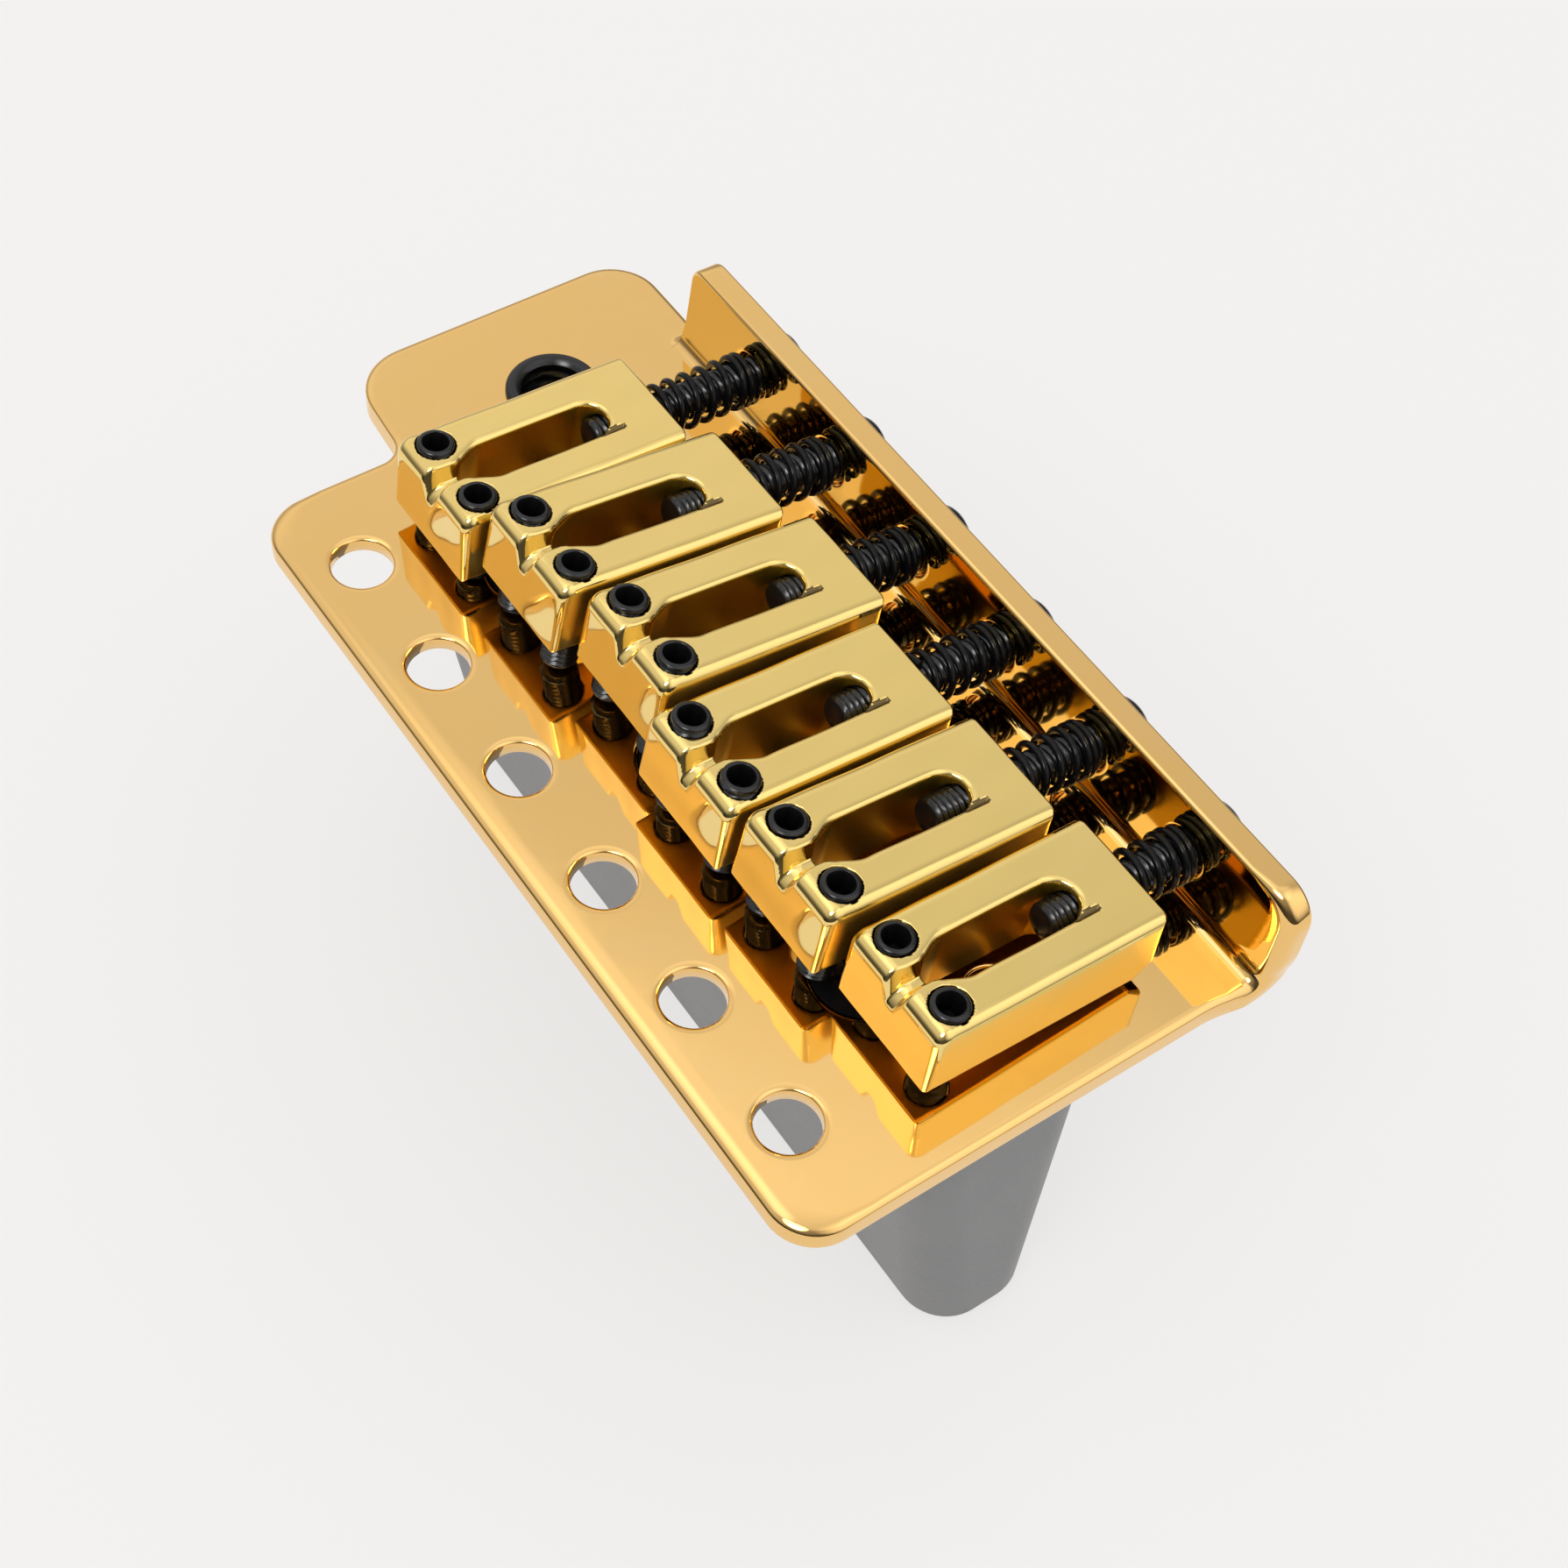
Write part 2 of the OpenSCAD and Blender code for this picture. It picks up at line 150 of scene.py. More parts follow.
# Skins a distance field with quads, whose corners then move onto the surface
def skinField(field, low, high, step):
    before, after = (step * margin for margin in skinSpec["margins"])
    axes = [np.arange(low[k] - before, high[k] + after, step) for k in range(3)]
    values = field(*np.meshgrid(*axes, indexing="ij"))
    shape = np.array(values.shape) - 1
    total = np.zeros(tuple(shape) + (3,))
    count = np.zeros(tuple(shape))
    whole = [slice(0, n) for n in shape]
    for axis in range(3):
        others = [k for k in range(3) if k != axis]
        for shiftA in (0, 1):
            for shiftB in (0, 1):
                near = list(whole)
                near[others[0]] = slice(shiftA, shape[others[0]] + shiftA)
                near[others[1]] = slice(shiftB, shape[others[1]] + shiftB)
                far = list(near)
                far[axis] = slice(1, shape[axis] + 1)
                start, end = values[tuple(near)], values[tuple(far)]
                crossed = (start < 0) != (end < 0)
                share = np.where(crossed, start / np.where(start == end, 1, start - end), 0)
                total[..., axis] += np.where(crossed, share, 0)
                total[..., others[0]] += crossed * shiftA
                total[..., others[1]] += crossed * shiftB
                count += crossed
    used = count > 0
    index = np.full(tuple(shape), -1)
    index[used] = np.arange(used.sum())
    cells = np.argwhere(used)
    origin = np.array([axis[0] for axis in axes])
    points = origin + (cells + total[used] / count[used][:, None]) * step
    faces = []
    for axis in range(3):
        u, v = (axis + 1) % 3, (axis + 2) % 3
        start = np.take(values, range(values.shape[axis] - 1), axis) < 0
        end = np.take(values, range(1, values.shape[axis]), axis) < 0
        spots = np.argwhere(start != end)
        spots = spots[(spots[:, u] > 0) & (spots[:, v] > 0)]
        spots = spots[(spots[:, u] < shape[u]) & (spots[:, v] < shape[v])]
        corners = []
        for backU, backV in ((1, 1), (0, 1), (0, 0), (1, 0)):
            spot = spots.copy()
            spot[:, u] -= backU
            spot[:, v] -= backV
            corners.append(index[tuple(spot.T)])
        quads = np.stack(corners, 1)
        outward = start[tuple(spots.T)]
        quads[~outward] = quads[~outward][:, ::-1]
        faces.append(quads)
    for _ in range(skinSpec["moves"]):
        slope = fieldSlope(field, points)
        value = field(*points.T)
        move = value / np.maximum((slope ** 2).sum(1), skinSpec["leastSlope"])
        points = points - slope * np.clip(move, -step, step)[:, None]
    slope = fieldSlope(field, points)
    normals = slope / np.linalg.norm(slope, axis=1)[:, None]
    return points, np.concatenate(faces), normals


def fieldSlope(field, points):
    reach = skinSpec["slopeReach"]
    slope = np.zeros_like(points)
    for k in range(3):
        shift = np.zeros(3)
        shift[k] = reach
        slope[:, k] = (field(*(points + shift).T) - field(*(points - shift).T)) / (2 * reach)
    return slope


# Puts a node in a tree and sets its inputs, by value or by link, and its other settings
def addNode(tree, kind, inputs=None, **settings):
    node = tree.nodes.new(kind)
    for name, value in settings.items():
        setattr(node, name, value)
    for name, value in (inputs or {}).items():
        socket = node.inputs[name]
        if isinstance(value, bpy.types.NodeSocket):
            tree.links.new(value, socket)
        else:
            socket.default_value = value
    return node


def calc(tree, operation, *values):
    inputs = dict(enumerate(values))
    return addNode(tree, "ShaderNodeMath", inputs, operation=operation).outputs[0]


def mixColour(tree, share, first, second):
    node = addNode(tree, "ShaderNodeMix", data_type="RGBA")
    for slot, value in (("Factor_Float", share), ("A_Color", first), ("B_Color", second)):
        socket = next(s for s in node.inputs if s.identifier == slot)
        if isinstance(value, bpy.types.NodeSocket):
            tree.links.new(value, socket)
        else:
            socket.default_value = value
    return next(s for s in node.outputs if s.identifier == "Result_Color")


def shadeGroup(name, inputs, outputs):
    tree = bpy.data.node_groups.new(name, "ShaderNodeTree")
    for label, kind, value in inputs:
        tree.interface.new_socket(label, in_out="INPUT", socket_type=kind).default_value = value
    for label, kind in outputs:
        tree.interface.new_socket(label, in_out="OUTPUT", socket_type=kind)
    return tree, tree.nodes.new("NodeGroupInput").outputs, tree.nodes.new("NodeGroupOutput").inputs


# Plated metal: slow ripples of the casting, finger smudges and faint rub marks
def platingGroup():
    tree, given, out = shadeGroup("platingWear", [
        ("Plating", "NodeSocketColor", (0.8, 0.5, 0.2, 1)),
        ("Rub Tint", "NodeSocketColor", (0.9, 0.6, 0.3, 1)),
        ("Ripple Size", "NodeSocketFloat", 0.004),
        ("Gloss", "NodeSocketFloat", 0.06),
        ("Smudge", "NodeSocketFloat", 0.05),
    ], [("Colour", "NodeSocketColor"), ("Roughness", "NodeSocketFloat"), ("Ripple", "NodeSocketFloat")])
    where = addNode(tree, "ShaderNodeTexCoord").outputs["Object"]
    scale = calc(tree, "DIVIDE", 1, given["Ripple Size"])
    ripple = addNode(tree, "ShaderNodeTexNoise", {"Vector": where, "Scale": scale, "Detail": 1.5})
    smudge = addNode(tree, "ShaderNodeTexNoise", {
        "Vector": where, "Scale": 130, "Detail": 3, "Distortion": 0.6})
    grain = addNode(tree, "ShaderNodeTexNoise", {"Vector": where, "Scale": 2600, "Detail": 2})
    patch = addNode(tree, "ShaderNodeMapRange", {
        "Value": smudge.outputs["Fac"], "From Min": 0.45, "From Max": 0.75})
    speckShare, rubShare = 0.35, 0.5
    speck = calc(tree, "MULTIPLY", grain.outputs["Fac"], speckShare)
    haze = calc(tree, "MULTIPLY", calc(tree, "ADD", patch.outputs["Result"], speck), given["Smudge"])
    tree.links.new(calc(tree, "ADD", given["Gloss"], haze), out["Roughness"])
    rub = calc(tree, "MULTIPLY", patch.outputs["Result"], rubShare)
    tree.links.new(mixColour(tree, rub, given["Plating"], given["Rub Tint"]), out["Colour"])
    tree.links.new(ripple.outputs["Fac"], out["Ripple"])
    return tree


# Fine grain and slow clouding of a dull coating
def coatingGroup():
    tree, given, out = shadeGroup("coatingGrain", [
        ("Coating", "NodeSocketColor", (0.2, 0.2, 0.2, 1)),
        ("Worn", "NodeSocketColor", (0.3, 0.3, 0.3, 1)),
        ("Grain Size", "NodeSocketFloat", 0.0004),
        ("Roughness", "NodeSocketFloat", 0.4),
    ], [("Colour", "NodeSocketColor"), ("Roughness", "NodeSocketFloat"), ("Grain", "NodeSocketFloat")])
    where = addNode(tree, "ShaderNodeTexCoord").outputs["Object"]
    scale = calc(tree, "DIVIDE", 1, given["Grain Size"])
    grain = addNode(tree, "ShaderNodeTexNoise", {"Vector": where, "Scale": scale, "Detail": 2})
    cloud = addNode(tree, "ShaderNodeTexNoise", {"Vector": where, "Scale": 90, "Detail": 2})
    share = addNode(tree, "ShaderNodeMapRange", {
        "Value": cloud.outputs["Fac"], "From Min": 0.4, "From Max": 0.8})
    fleck = calc(tree, "MULTIPLY", grain.outputs["Fac"], share.outputs["Result"])
    tree.links.new(mixColour(tree, fleck, given["Coating"], given["Worn"]), out["Colour"])
    unevenness = 0.12
    spread = calc(tree, "MULTIPLY_ADD", grain.outputs["Fac"], unevenness, -unevenness / 2)
    tree.links.new(calc(tree, "ADD", given["Roughness"], spread), out["Roughness"])
    tree.links.new(grain.outputs["Fac"], out["Grain"])
    return tree


plating = platingGroup()
coating = coatingGroup()


# A finish from one of the two groups: its height output drives a bump
def finish(name, group, values, height, bump, **shader):
    material = bpy.data.materials.new(name)
    material.use_nodes = True
    tree = material.node_tree
    principled = tree.nodes["Principled BSDF"]
    wear = addNode(tree, "ShaderNodeGroup", node_tree=group)
    for label, value in values.items():
        wear.inputs[label].default_value = value
    relief = addNode(tree, "ShaderNodeBump", {"Height": wear.outputs[height], "Distance": bump})
    tree.links.new(wear.outputs["Colour"], principled.inputs["Base Color"])
    tree.links.new(wear.outputs["Roughness"], principled.inputs["Roughness"])
    tree.links.new(relief.outputs["Normal"], principled.inputs["Normal"])
    for label, value in shader.items():
        principled.inputs[label.replace("_", " ")].default_value = value
    return material


plateGold = finish("plateGold", plating, {
    "Plating": (0.91, 0.575, 0.205, 1), "Rub Tint": (0.89, 0.59, 0.245, 1),
    "Ripple Size": 0.009, "Gloss": 0.035, "Smudge": 0.03}, "Ripple", 0.00001, Metallic=1)
# Paler copy of the plate's gold for the lip's inner face: painted light that brightens its reflection
lipLitGold = finish("lipLitGold", plating, {
    "Plating": (0.9, 0.7, 0.3, 1), "Rub Tint": (0.88, 0.7, 0.33, 1),
    "Ripple Size": 0.009, "Gloss": 0.035, "Smudge": 0.03}, "Ripple", 0.00001, Metallic=1)
saddleGold = finish("saddleGold", plating, {
    "Plating": (0.94, 0.69, 0.24, 1), "Rub Tint": (0.92, 0.695, 0.27, 1),
    "Ripple Size": 0.0032, "Gloss": 0.05, "Smudge": 0.03}, "Ripple", 0.000012, Metallic=1)
# Darker, more saturated gold for the slot walls, the rear face and the underside of a saddle: painted shade
# in these recesses and hidden faces; its higher roughness is the as-cast finish
slotShadeGold = finish("slotShadeGold", plating, {
    "Plating": (0.8, 0.52, 0.05, 1), "Rub Tint": (0.7, 0.45, 0.04, 1),
    "Ripple Size": 0.0032, "Gloss": 0.3, "Smudge": 0.1}, "Ripple", 0.000012, Metallic=1)
# Dark brown in the tail cut behind the slot: painted shade in that dent
tailShadeGold = finish("tailShadeGold", plating, {
    "Plating": (0.17, 0.12, 0.05, 1), "Rub Tint": (0.21, 0.15, 0.065, 1),
    "Ripple Size": 0.0032, "Gloss": 0.35, "Smudge": 0.06}, "Ripple", 0.000012, Metallic=1)
# Darker gold for the saddle's sides: painted shade in the narrow gaps between saddles; its higher roughness
# is the as-cast side
sideShadeGold = finish("sideShadeGold", plating, {
    "Plating": (0.79, 0.59, 0.16, 1), "Rub Tint": (0.75, 0.56, 0.17, 1),
    "Ripple Size": 0.0032, "Gloss": 0.3, "Smudge": 0.06}, "Ripple", 0.000012, Metallic=1)
blockGrey = finish("blockGrey", coating, {
    "Coating": (0.2, 0.2, 0.203, 1), "Worn": (0.245, 0.245, 0.247, 1),
    "Grain Size": 0.0005, "Roughness": 0.42}, "Grain", 0.00002, Metallic=0.15)
screwBlack = finish("screwBlack", coating, {
    "Coating": (0.006, 0.006, 0.007, 1), "Worn": (0.02, 0.02, 0.022, 1),
    "Grain Size": 0.0003, "Roughness": 0.22}, "Grain", 0.000002, Metallic=0)
# Near-black with little shine for the faces deep in a grub screw's hex socket: painted shade in the recess
socketShadeBlack = finish("socketShadeBlack", coating, {
    "Coating": (0.002, 0.002, 0.002, 1), "Worn": (0.003, 0.003, 0.003, 1),
    "Grain Size": 0.0003, "Roughness": 0.6}, "Grain", 0.000001, Metallic=0, Specular_IOR_Level=0.1)
springBlack = finish("springBlack", coating, {
    "Coating": (0.005, 0.005, 0.006, 1), "Worn": (0.012, 0.012, 0.014, 1),
    "Grain Size": 0.0004, "Roughness": 0.13}, "Grain", 0.000001, Metallic=0, Specular_IOR_Level=0.2)
print("finishes made")


# Arc round the corner b between a and c
def cornerArc(a, b, c, radius, steps=12):
    b = np.array(b[:2], float)
    u = np.array(a[:2]) - b
    v = np.array(c[:2]) - b
    u, v = u / np.linalg.norm(u), v / np.linalg.norm(v)
    half = math.acos(np.clip(u @ v, -1, 1)) / 2
    middle = b + (u + v) / np.linalg.norm(u + v) * radius / math.sin(half)
    out = -(u + v) / np.linalg.norm(u + v)
    side = np.sign(u[1] * v[0] - u[0] * v[1])
    turns = [side * (math.pi / 2 - half) * (2 * k / steps - 1) for k in range(steps + 1)]
    return [middle + radius * np.array([out[0] * math.cos(t) - out[1] * math.sin(t),
                                        out[0] * math.sin(t) + out[1] * math.cos(t)]) for t in turns]


# Closed outline from (x, y, radius) corners, with long sides cut to the given spacing
def roundedOutline(corners, spacing):
    loose = []
    for k, b in enumerate(corners):
        a, c = corners[k - 1], corners[(k + 1) % len(corners)]
        loose += cornerArc(a, b, c, b[2]) if b[2] > 0 else [np.array(b[:2], float)]
    outline = []
    for k, point in enumerate(loose):
        following = loose[(k + 1) % len(loose)]
        parts = max(1, math.ceil(np.linalg.norm(following - point) / spacing))
        outline += [point + (following - point) * n / parts for n in range(parts)]
    return np.array(outline)


# Inward mitre at each point of a closed outline that runs anticlockwise
def inwardMitres(outline):
    ahead = np.roll(outline, -1, 0) - outline
    ahead /= np.linalg.norm(ahead, axis=1)[:, None]
    left = np.stack([-ahead[:, 1], ahead[:, 0]], 1)
    both = left + np.roll(left, 1, 0)
    return both / (both * left).sum(1)[:, None]


# Rings of points joined by walls and filled faces, in one growing mesh
class SheetMaker:
    def __init__(self):
        self.mesh = bmesh.new()

    def ring(self, points):
        return [self.mesh.verts.new(p) for p in points]

    def wall(self, first, second):
        count = len(first)
        for k in range(count):
            n = (k + 1) % count
            self.mesh.faces.new((first[k], first[n], second[n], second[k]))

    def fill(self, rings, normal):
        edges = []
        for ring in rings:
            for k, vert in enumerate(ring):
                pair = (vert, ring[(k + 1) % len(ring)])
                edges.append(self.mesh.edges.get(pair) or self.mesh.edges.new(pair))
        bmesh.ops.triangle_fill(self.mesh, use_beauty=True, edges=edges, normal=normal)

    def cut(self, point, normal):
        geometry = self.mesh.verts[:] + self.mesh.edges[:] + self.mesh.faces[:]
        bmesh.ops.bisect_plane(self.mesh, geom=geometry, plane_co=point, plane_no=normal, dist=1e-5)

    def piece(self, name, place, material):
        bmesh.ops.recalc_face_normals(self.mesh, faces=self.mesh.faces[:])
        mesh = bpy.data.meshes.new(name)
        self.mesh.to_mesh(mesh)
        self.mesh.free()
        mesh.transform(place)
        mesh.shade_smooth()
        mesh.materials.append(material)
        return addObject(name, mesh)


# Bevels are (width, depth) and rims (width, depth, flat ring round them). The sweep widens the plate towards
# the lip, and runs are the lengths over which a bevel changes.
plateSpec = {
    "thick": 2.2, "cornerRadius": 3.7, "outlineStep": 2.0, "slit": 0.02,
    "wingReach": 10.15, "wingFront": 9.0, "wingFrontRadius": 4.8, "wingRearRadius": 4.2, "wingRear": 35.5,
    "notchRise": 0.8, "notchRadius": 2,
    "lipIn": 0.9, "lipSlant": 0.8, "lipEndRadius": 1.6, "lipBassRadius": 2.7,
    "sweepBefore": 2.5, "sweepHeight": 2.5, "sweepRadius": 12,
    "bendInside": 1.0, "bendRun": 1.57, "bendCuts": 10, "notchCuts": (10, 8), "cutBeside": (1.0, 0.3),
    "frontBevel": (1.8, 0.7), "frontRun": (5.5, 4.5), "sideBevel": (0.75, 0.4), "lipBevel": (0.35, 0.35),
    "lipEndBevel": (1.2, 1.1), "lipEndRun": (3.5, 4), "slitBevel": 0.005, "underBevel": 0.3,
    "lipFacing": -0.95, "lipFrom": 0.4, "lipRun": (1, 1.5), "near": 0.001, "slitReach": 0.1,
    "edgeSteps": 6, "underSteps": 4, "rimSteps": 5, "holePoints": 56, "sinkPoints": 40,
    "mountCount": 6, "mountPitch": 11.2, "mountRadius": 2.35,
    "mountRim": (0.5, 0.22, 0.06), "mountSink": (1.2, 0.9),
    "holeRim": (0.3, 0.25, 0.2), "armRim": (0.15, 0.15, 0.2), "sinkRim": (0.3, 0.1),
    "rearRim": ((0, 0.2), (0.06, 0.06), (0.2, 0)), "mountRear": ((0, 0.04), (0.1, 0)), "rearRing": 0.25,
    "lipHoleRadius": 1.9, "stringRadius": 1.75, "armRadius": 3.55,
    "plateScrewAt": (21.2, 10.9), "plateScrewRadius": 2.05, "plateScrewSink": 3.85,
    "stringRow": 17.5, "armAt": (-36.1, 21.8),
}


# The plate is drawn flat, with its lip laid out behind it, and the lip is then folded up
def basePlate():
    spec = plateSpec
    low, high = (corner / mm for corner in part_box("base_plate"))
    thick, inside, run = spec["thick"], spec["bendInside"], spec["bendRun"]
    halfWidth = -low.x - spec["wingReach"]
    foldAt = high.y - thick - inside

    def laid(height):
        return foldAt + run + height - inside

    treble = -halfWidth
    lipEnd = treble + spec["lipIn"]
    slit = lipEnd - spec["slit"]
    outline = roundedOutline([
        (treble, low.y, spec["cornerRadius"]),
        (halfWidth, low.y, spec["cornerRadius"]),
        (halfWidth, foldAt - spec["sweepBefore"], spec["sweepRadius"]),
        (high.x, laid(spec["sweepHeight"]), spec["sweepRadius"]),
        (high.x, laid(high.z), spec["lipBassRadius"]),
        (lipEnd + spec["lipSlant"], laid(high.z), spec["lipEndRadius"]),
        (lipEnd, laid(inside), 0),
        (lipEnd, foldAt, 0),
        (slit, foldAt, 0),
        (slit, spec["wingRear"], 0),
        (low.x, spec["wingRear"], spec["wingRearRadius"]),
        (low.x, spec["wingFront"], spec["wingFrontRadius"]),
        (treble, spec["wingFront"] - spec["notchRise"], spec["notchRadius"])], spec["outlineStep"])
    mitres = inwardMitres(outline)
    x, y = outline.T
    atFront = smoothStep((low.y + spec["frontRun"][0] - y) / spec["frontRun"][1])
    near, reach = spec["near"], spec["slitReach"]
    onLip = x > lipEnd - near
    atLip = smoothStep((y - foldAt + spec["lipRun"][0]) / spec["lipRun"][1]) * onLip
    atBass = smoothStep((x - halfWidth + spec["lipEndRun"][0]) / spec["lipEndRun"][1]) * atLip
    atSlit = (np.abs(x - lipEnd) < 2 * spec["slit"]) & (y > foldAt - reach) & (y < laid(inside) + reach)
    atSlit |= (np.abs(x - slit) < near) & (y > foldAt - reach)

    def bevelSize(k):
        size = spec["sideBevel"][k] + (spec["frontBevel"][k] - spec["sideBevel"][k]) * atFront
        size = size + (spec["lipBevel"][k] - size) * atLip
        size = size + (spec["lipEndBevel"][k] - spec["lipBevel"][k]) * atBass
        return np.where(atSlit, spec["slitBevel"], size)

    wide, deep = bevelSize(0), bevelSize(1)
    maker = SheetMaker()
    rows = []
    for angle in quarterTurn(spec["edgeSteps"]):
        rows.append((wide * (1 - math.sin(angle)), -deep * (1 - math.cos(angle))))
    under = spec["underBevel"]
    for angle in quarterTurn(spec["underSteps"]):
        rows.append((under * (1 - math.cos(angle)), -thick + under * (1 - math.sin(angle)) + 0 * x))
    rings = []
    for inset, height in rows:
        flat = outline + mitres * np.reshape(inset, (-1, 1))
        rings.append(maker.ring(np.column_stack([flat, height])))
    for first, second in zip(rings, rings[1:]):
        maker.wall(second, first)
    tops, bottoms = [rings[0]], [rings[-1]]

    def hole(centre, radius, rim=spec["holeRim"], sink=0, under=None, segments=spec["holePoints"]):
        turns = np.arange(segments) * 2 * math.pi / segments
        if sink:
            ring, ease = spec["sinkRim"]
            profile = [(sink + ring, 0), (sink + ease, 0), (sink, -ease), (radius, radius - sink)]
        else:
            profile = [(radius + rim[0] + rim[2], 0)]
            for angle in quarterTurn(spec["rimSteps"]):
                wider = radius + rim[0] * (1 - math.sin(angle))
                profile.append((wider, -rim[1] * (1 - math.cos(angle))))
        if under:
            profile.append((radius, -under[0]))
            profile += [(radius + under[1] + out, up - thick) for out, up in spec["mountRear"]]
        else:
            profile += [(radius + out, up - thick) for out, up in spec["rearRim"]]
        profile.append((profile[-1][0] + spec["rearRing"], -thick))
        circle = np.stack([np.cos(turns), np.sin(turns)], 1)
        loops = []
        for wider, height in profile:
            flat = np.array(centre) + wider * circle
            loops.append(maker.ring(np.column_stack([flat, np.full(segments, height)])))
        for first, second in zip(loops, loops[1:]):
            maker.wall(first, second)
        tops.append(loops[0])
        bottoms.append(loops[-1])

    for k in range(spec["mountCount"]):
        centre = ((k - (spec["mountCount"] - 1) / 2) * spec["mountPitch"], 0)
        hole(centre, spec["mountRadius"], spec["mountRim"], under=spec["mountSink"])
    for number in saddleNumbers:
        across, _, height = hingeAt(number)
        hole((across, spec["stringRow"]), spec["stringRadius"])
        hole((across, laid(height)), spec["lipHoleRadius"])
    hole(spec["armAt"], spec["armRadius"], spec["armRim"])
    aside, behind = spec["plateScrewAt"]
    for k in (-1, 0, 1):
        hole((k * aside, behind), spec["plateScrewRadius"], sink=spec["plateScrewSink"],
             segments=spec["sinkPoints"])
    maker.fill(tops, (0, 0, 1))
    maker.fill(bottoms, (0, 0, -1))
    for k in range(spec["bendCuts"] + 1):
        maker.cut((0, foldAt + run * k / spec["bendCuts"], 0), (0, 1, 0))
    before, after = spec["cutBeside"]
    maker.cut((0, laid(inside + after), 0), (0, 1, 0))
    maker.cut((0, foldAt - before, 0), (0, 1, 0))
    cuts, parts = spec["notchCuts"]
    for k in range(cuts):
        maker.cut((lipEnd - inside * k / parts, 0, 0), (1, 0, 0))
    for vert in maker.mesh.verts:
        x, y, z = vert.co
        if y > foldAt and x < lipEnd - near and z > -0.5 * thick:
            off = math.hypot(max(0, lipEnd - x), max(0, foldAt + inside - y))
            vert.co.z += inside - math.sqrt(inside ** 2 - max(0, inside - off) ** 2)
        elif y > foldAt and x > lipEnd - near:
            angle = math.pi / 2 * min(1, (y - foldAt) / run)
            rest = max(0, y - foldAt - run)
            radius = inside - z
            vert.co.y = foldAt + radius * math.sin(angle) + rest * math.cos(angle)
            vert.co.z = inside - radius * math.cos(angle) + rest * math.sin(angle)
    piece = maker.piece("plateShell", Matrix.Scale(mm, 4), plateGold)
    # The lip's inner face takes the paler gold: painted light on one face of the same plated sheet
    piece.data.materials.append(lipLitGold)
    for face in piece.data.polygons:
        if face.normal.y < spec["lipFacing"] and face.center.z > spec["lipFrom"] * mm:
            face.material_index = 1
    return evenShade(piece)


plateShell = basePlate()
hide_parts("base_plate")
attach(plateShell, "plate")
print("base plate folded")


# Lengths run from the rear face and heights from the screw's axis, rims are the roundings of cut edges
saddleSpec = {
    "width": 10.1, "up": 2.2, "down": 4.2, "inset": 0.02, "rearInset": 0.01, "cell": 0.15,
    "noseRadius": 1.25, "sideRadius": 0.95, "rearRadius": 0.3, "rearBlend": 0.1,
    "footRadius": 0.12, "heel": 1.5, "heelRadius": 0.15,
    "noseFrom": 2.4, "noseRun": 1.6, "sideShares": (0.35, 0.65), "noseShares": (0.45, 0.35),
    "slotRear": 4.4, "slotHalf": 1.75, "slotFront": 17.0, "neckHalf": 0.75, "neckRun": 3.0, "neckBefore": 0.2,
    "slotFlare": 0.05, "slotFrontRadius": 0.7, "slotRim": (0.48, 0.14), "slotRimRise": (13, 3),
    "underRim": 0.12,
    "notchCrest": (0.8, 0.1), "notchRise": (16, 1.5), "notchDip": (1.3, 1.7), "notchHalf": 0.36,
    "notchSlope": 0.42, "notchFlank": 0.92, "notchRoot": 0.16, "notchBefore": 1.2, "notchEnd": 0.2,
    "notchRim": 0.17, "tailRim": 0.08, "boreRim": 0.1, "pinRim": 0.12,
    "screwAside": 3.0, "screwIn": 2.3, "screwRadius": 1.55, "pinRadius": 1.48,
    "tailFrom": 5.7, "tailRun": 1.7, "tailRadius": 0.36, "tailIn": 0.08, "tailLean": 0.1, "tailTaper": 0.3,
    "wave": 0.0084, "waves": ((1.1, 0.7, 0, 0), (0, 0.9, -1.3, 1), (1.7, -0.5, 0, 2)),
}
# How near to a surface a face counts as the slot's, the rear's, the foot's, the side's or the tail's, whose
# finishes carry painted shade
saddlePaint = {
    "slotAround": 0.1, "slotTop": 0.34, "slotFoot": 0.2, "notchBack": 0.5, "notchLow": 0.3,
    "rear": 0.12, "foot": 0.15, "tail": 0.04, "tailTop": 0.5, "side": 0.08, "sideTop": 0.6,
}


# Round-bottomed cut that carries the slot's bass edge on to the rear and runs out there
def tailField(x, u, z):
    spec = saddleSpec
    share = np.clip((spec["tailFrom"] - u) / spec["tailRun"], 0, 1)
    along = u - spec["tailFrom"] + spec["tailRun"] * share
    across = x - spec["slotHalf"] + spec["tailIn"] - spec["tailLean"] * share
    radius = spec["tailRadius"] * (1 - spec["tailTaper"] * share)
    return np.sqrt(across ** 2 + along ** 2 + (z - spec["up"]) ** 2) - radius


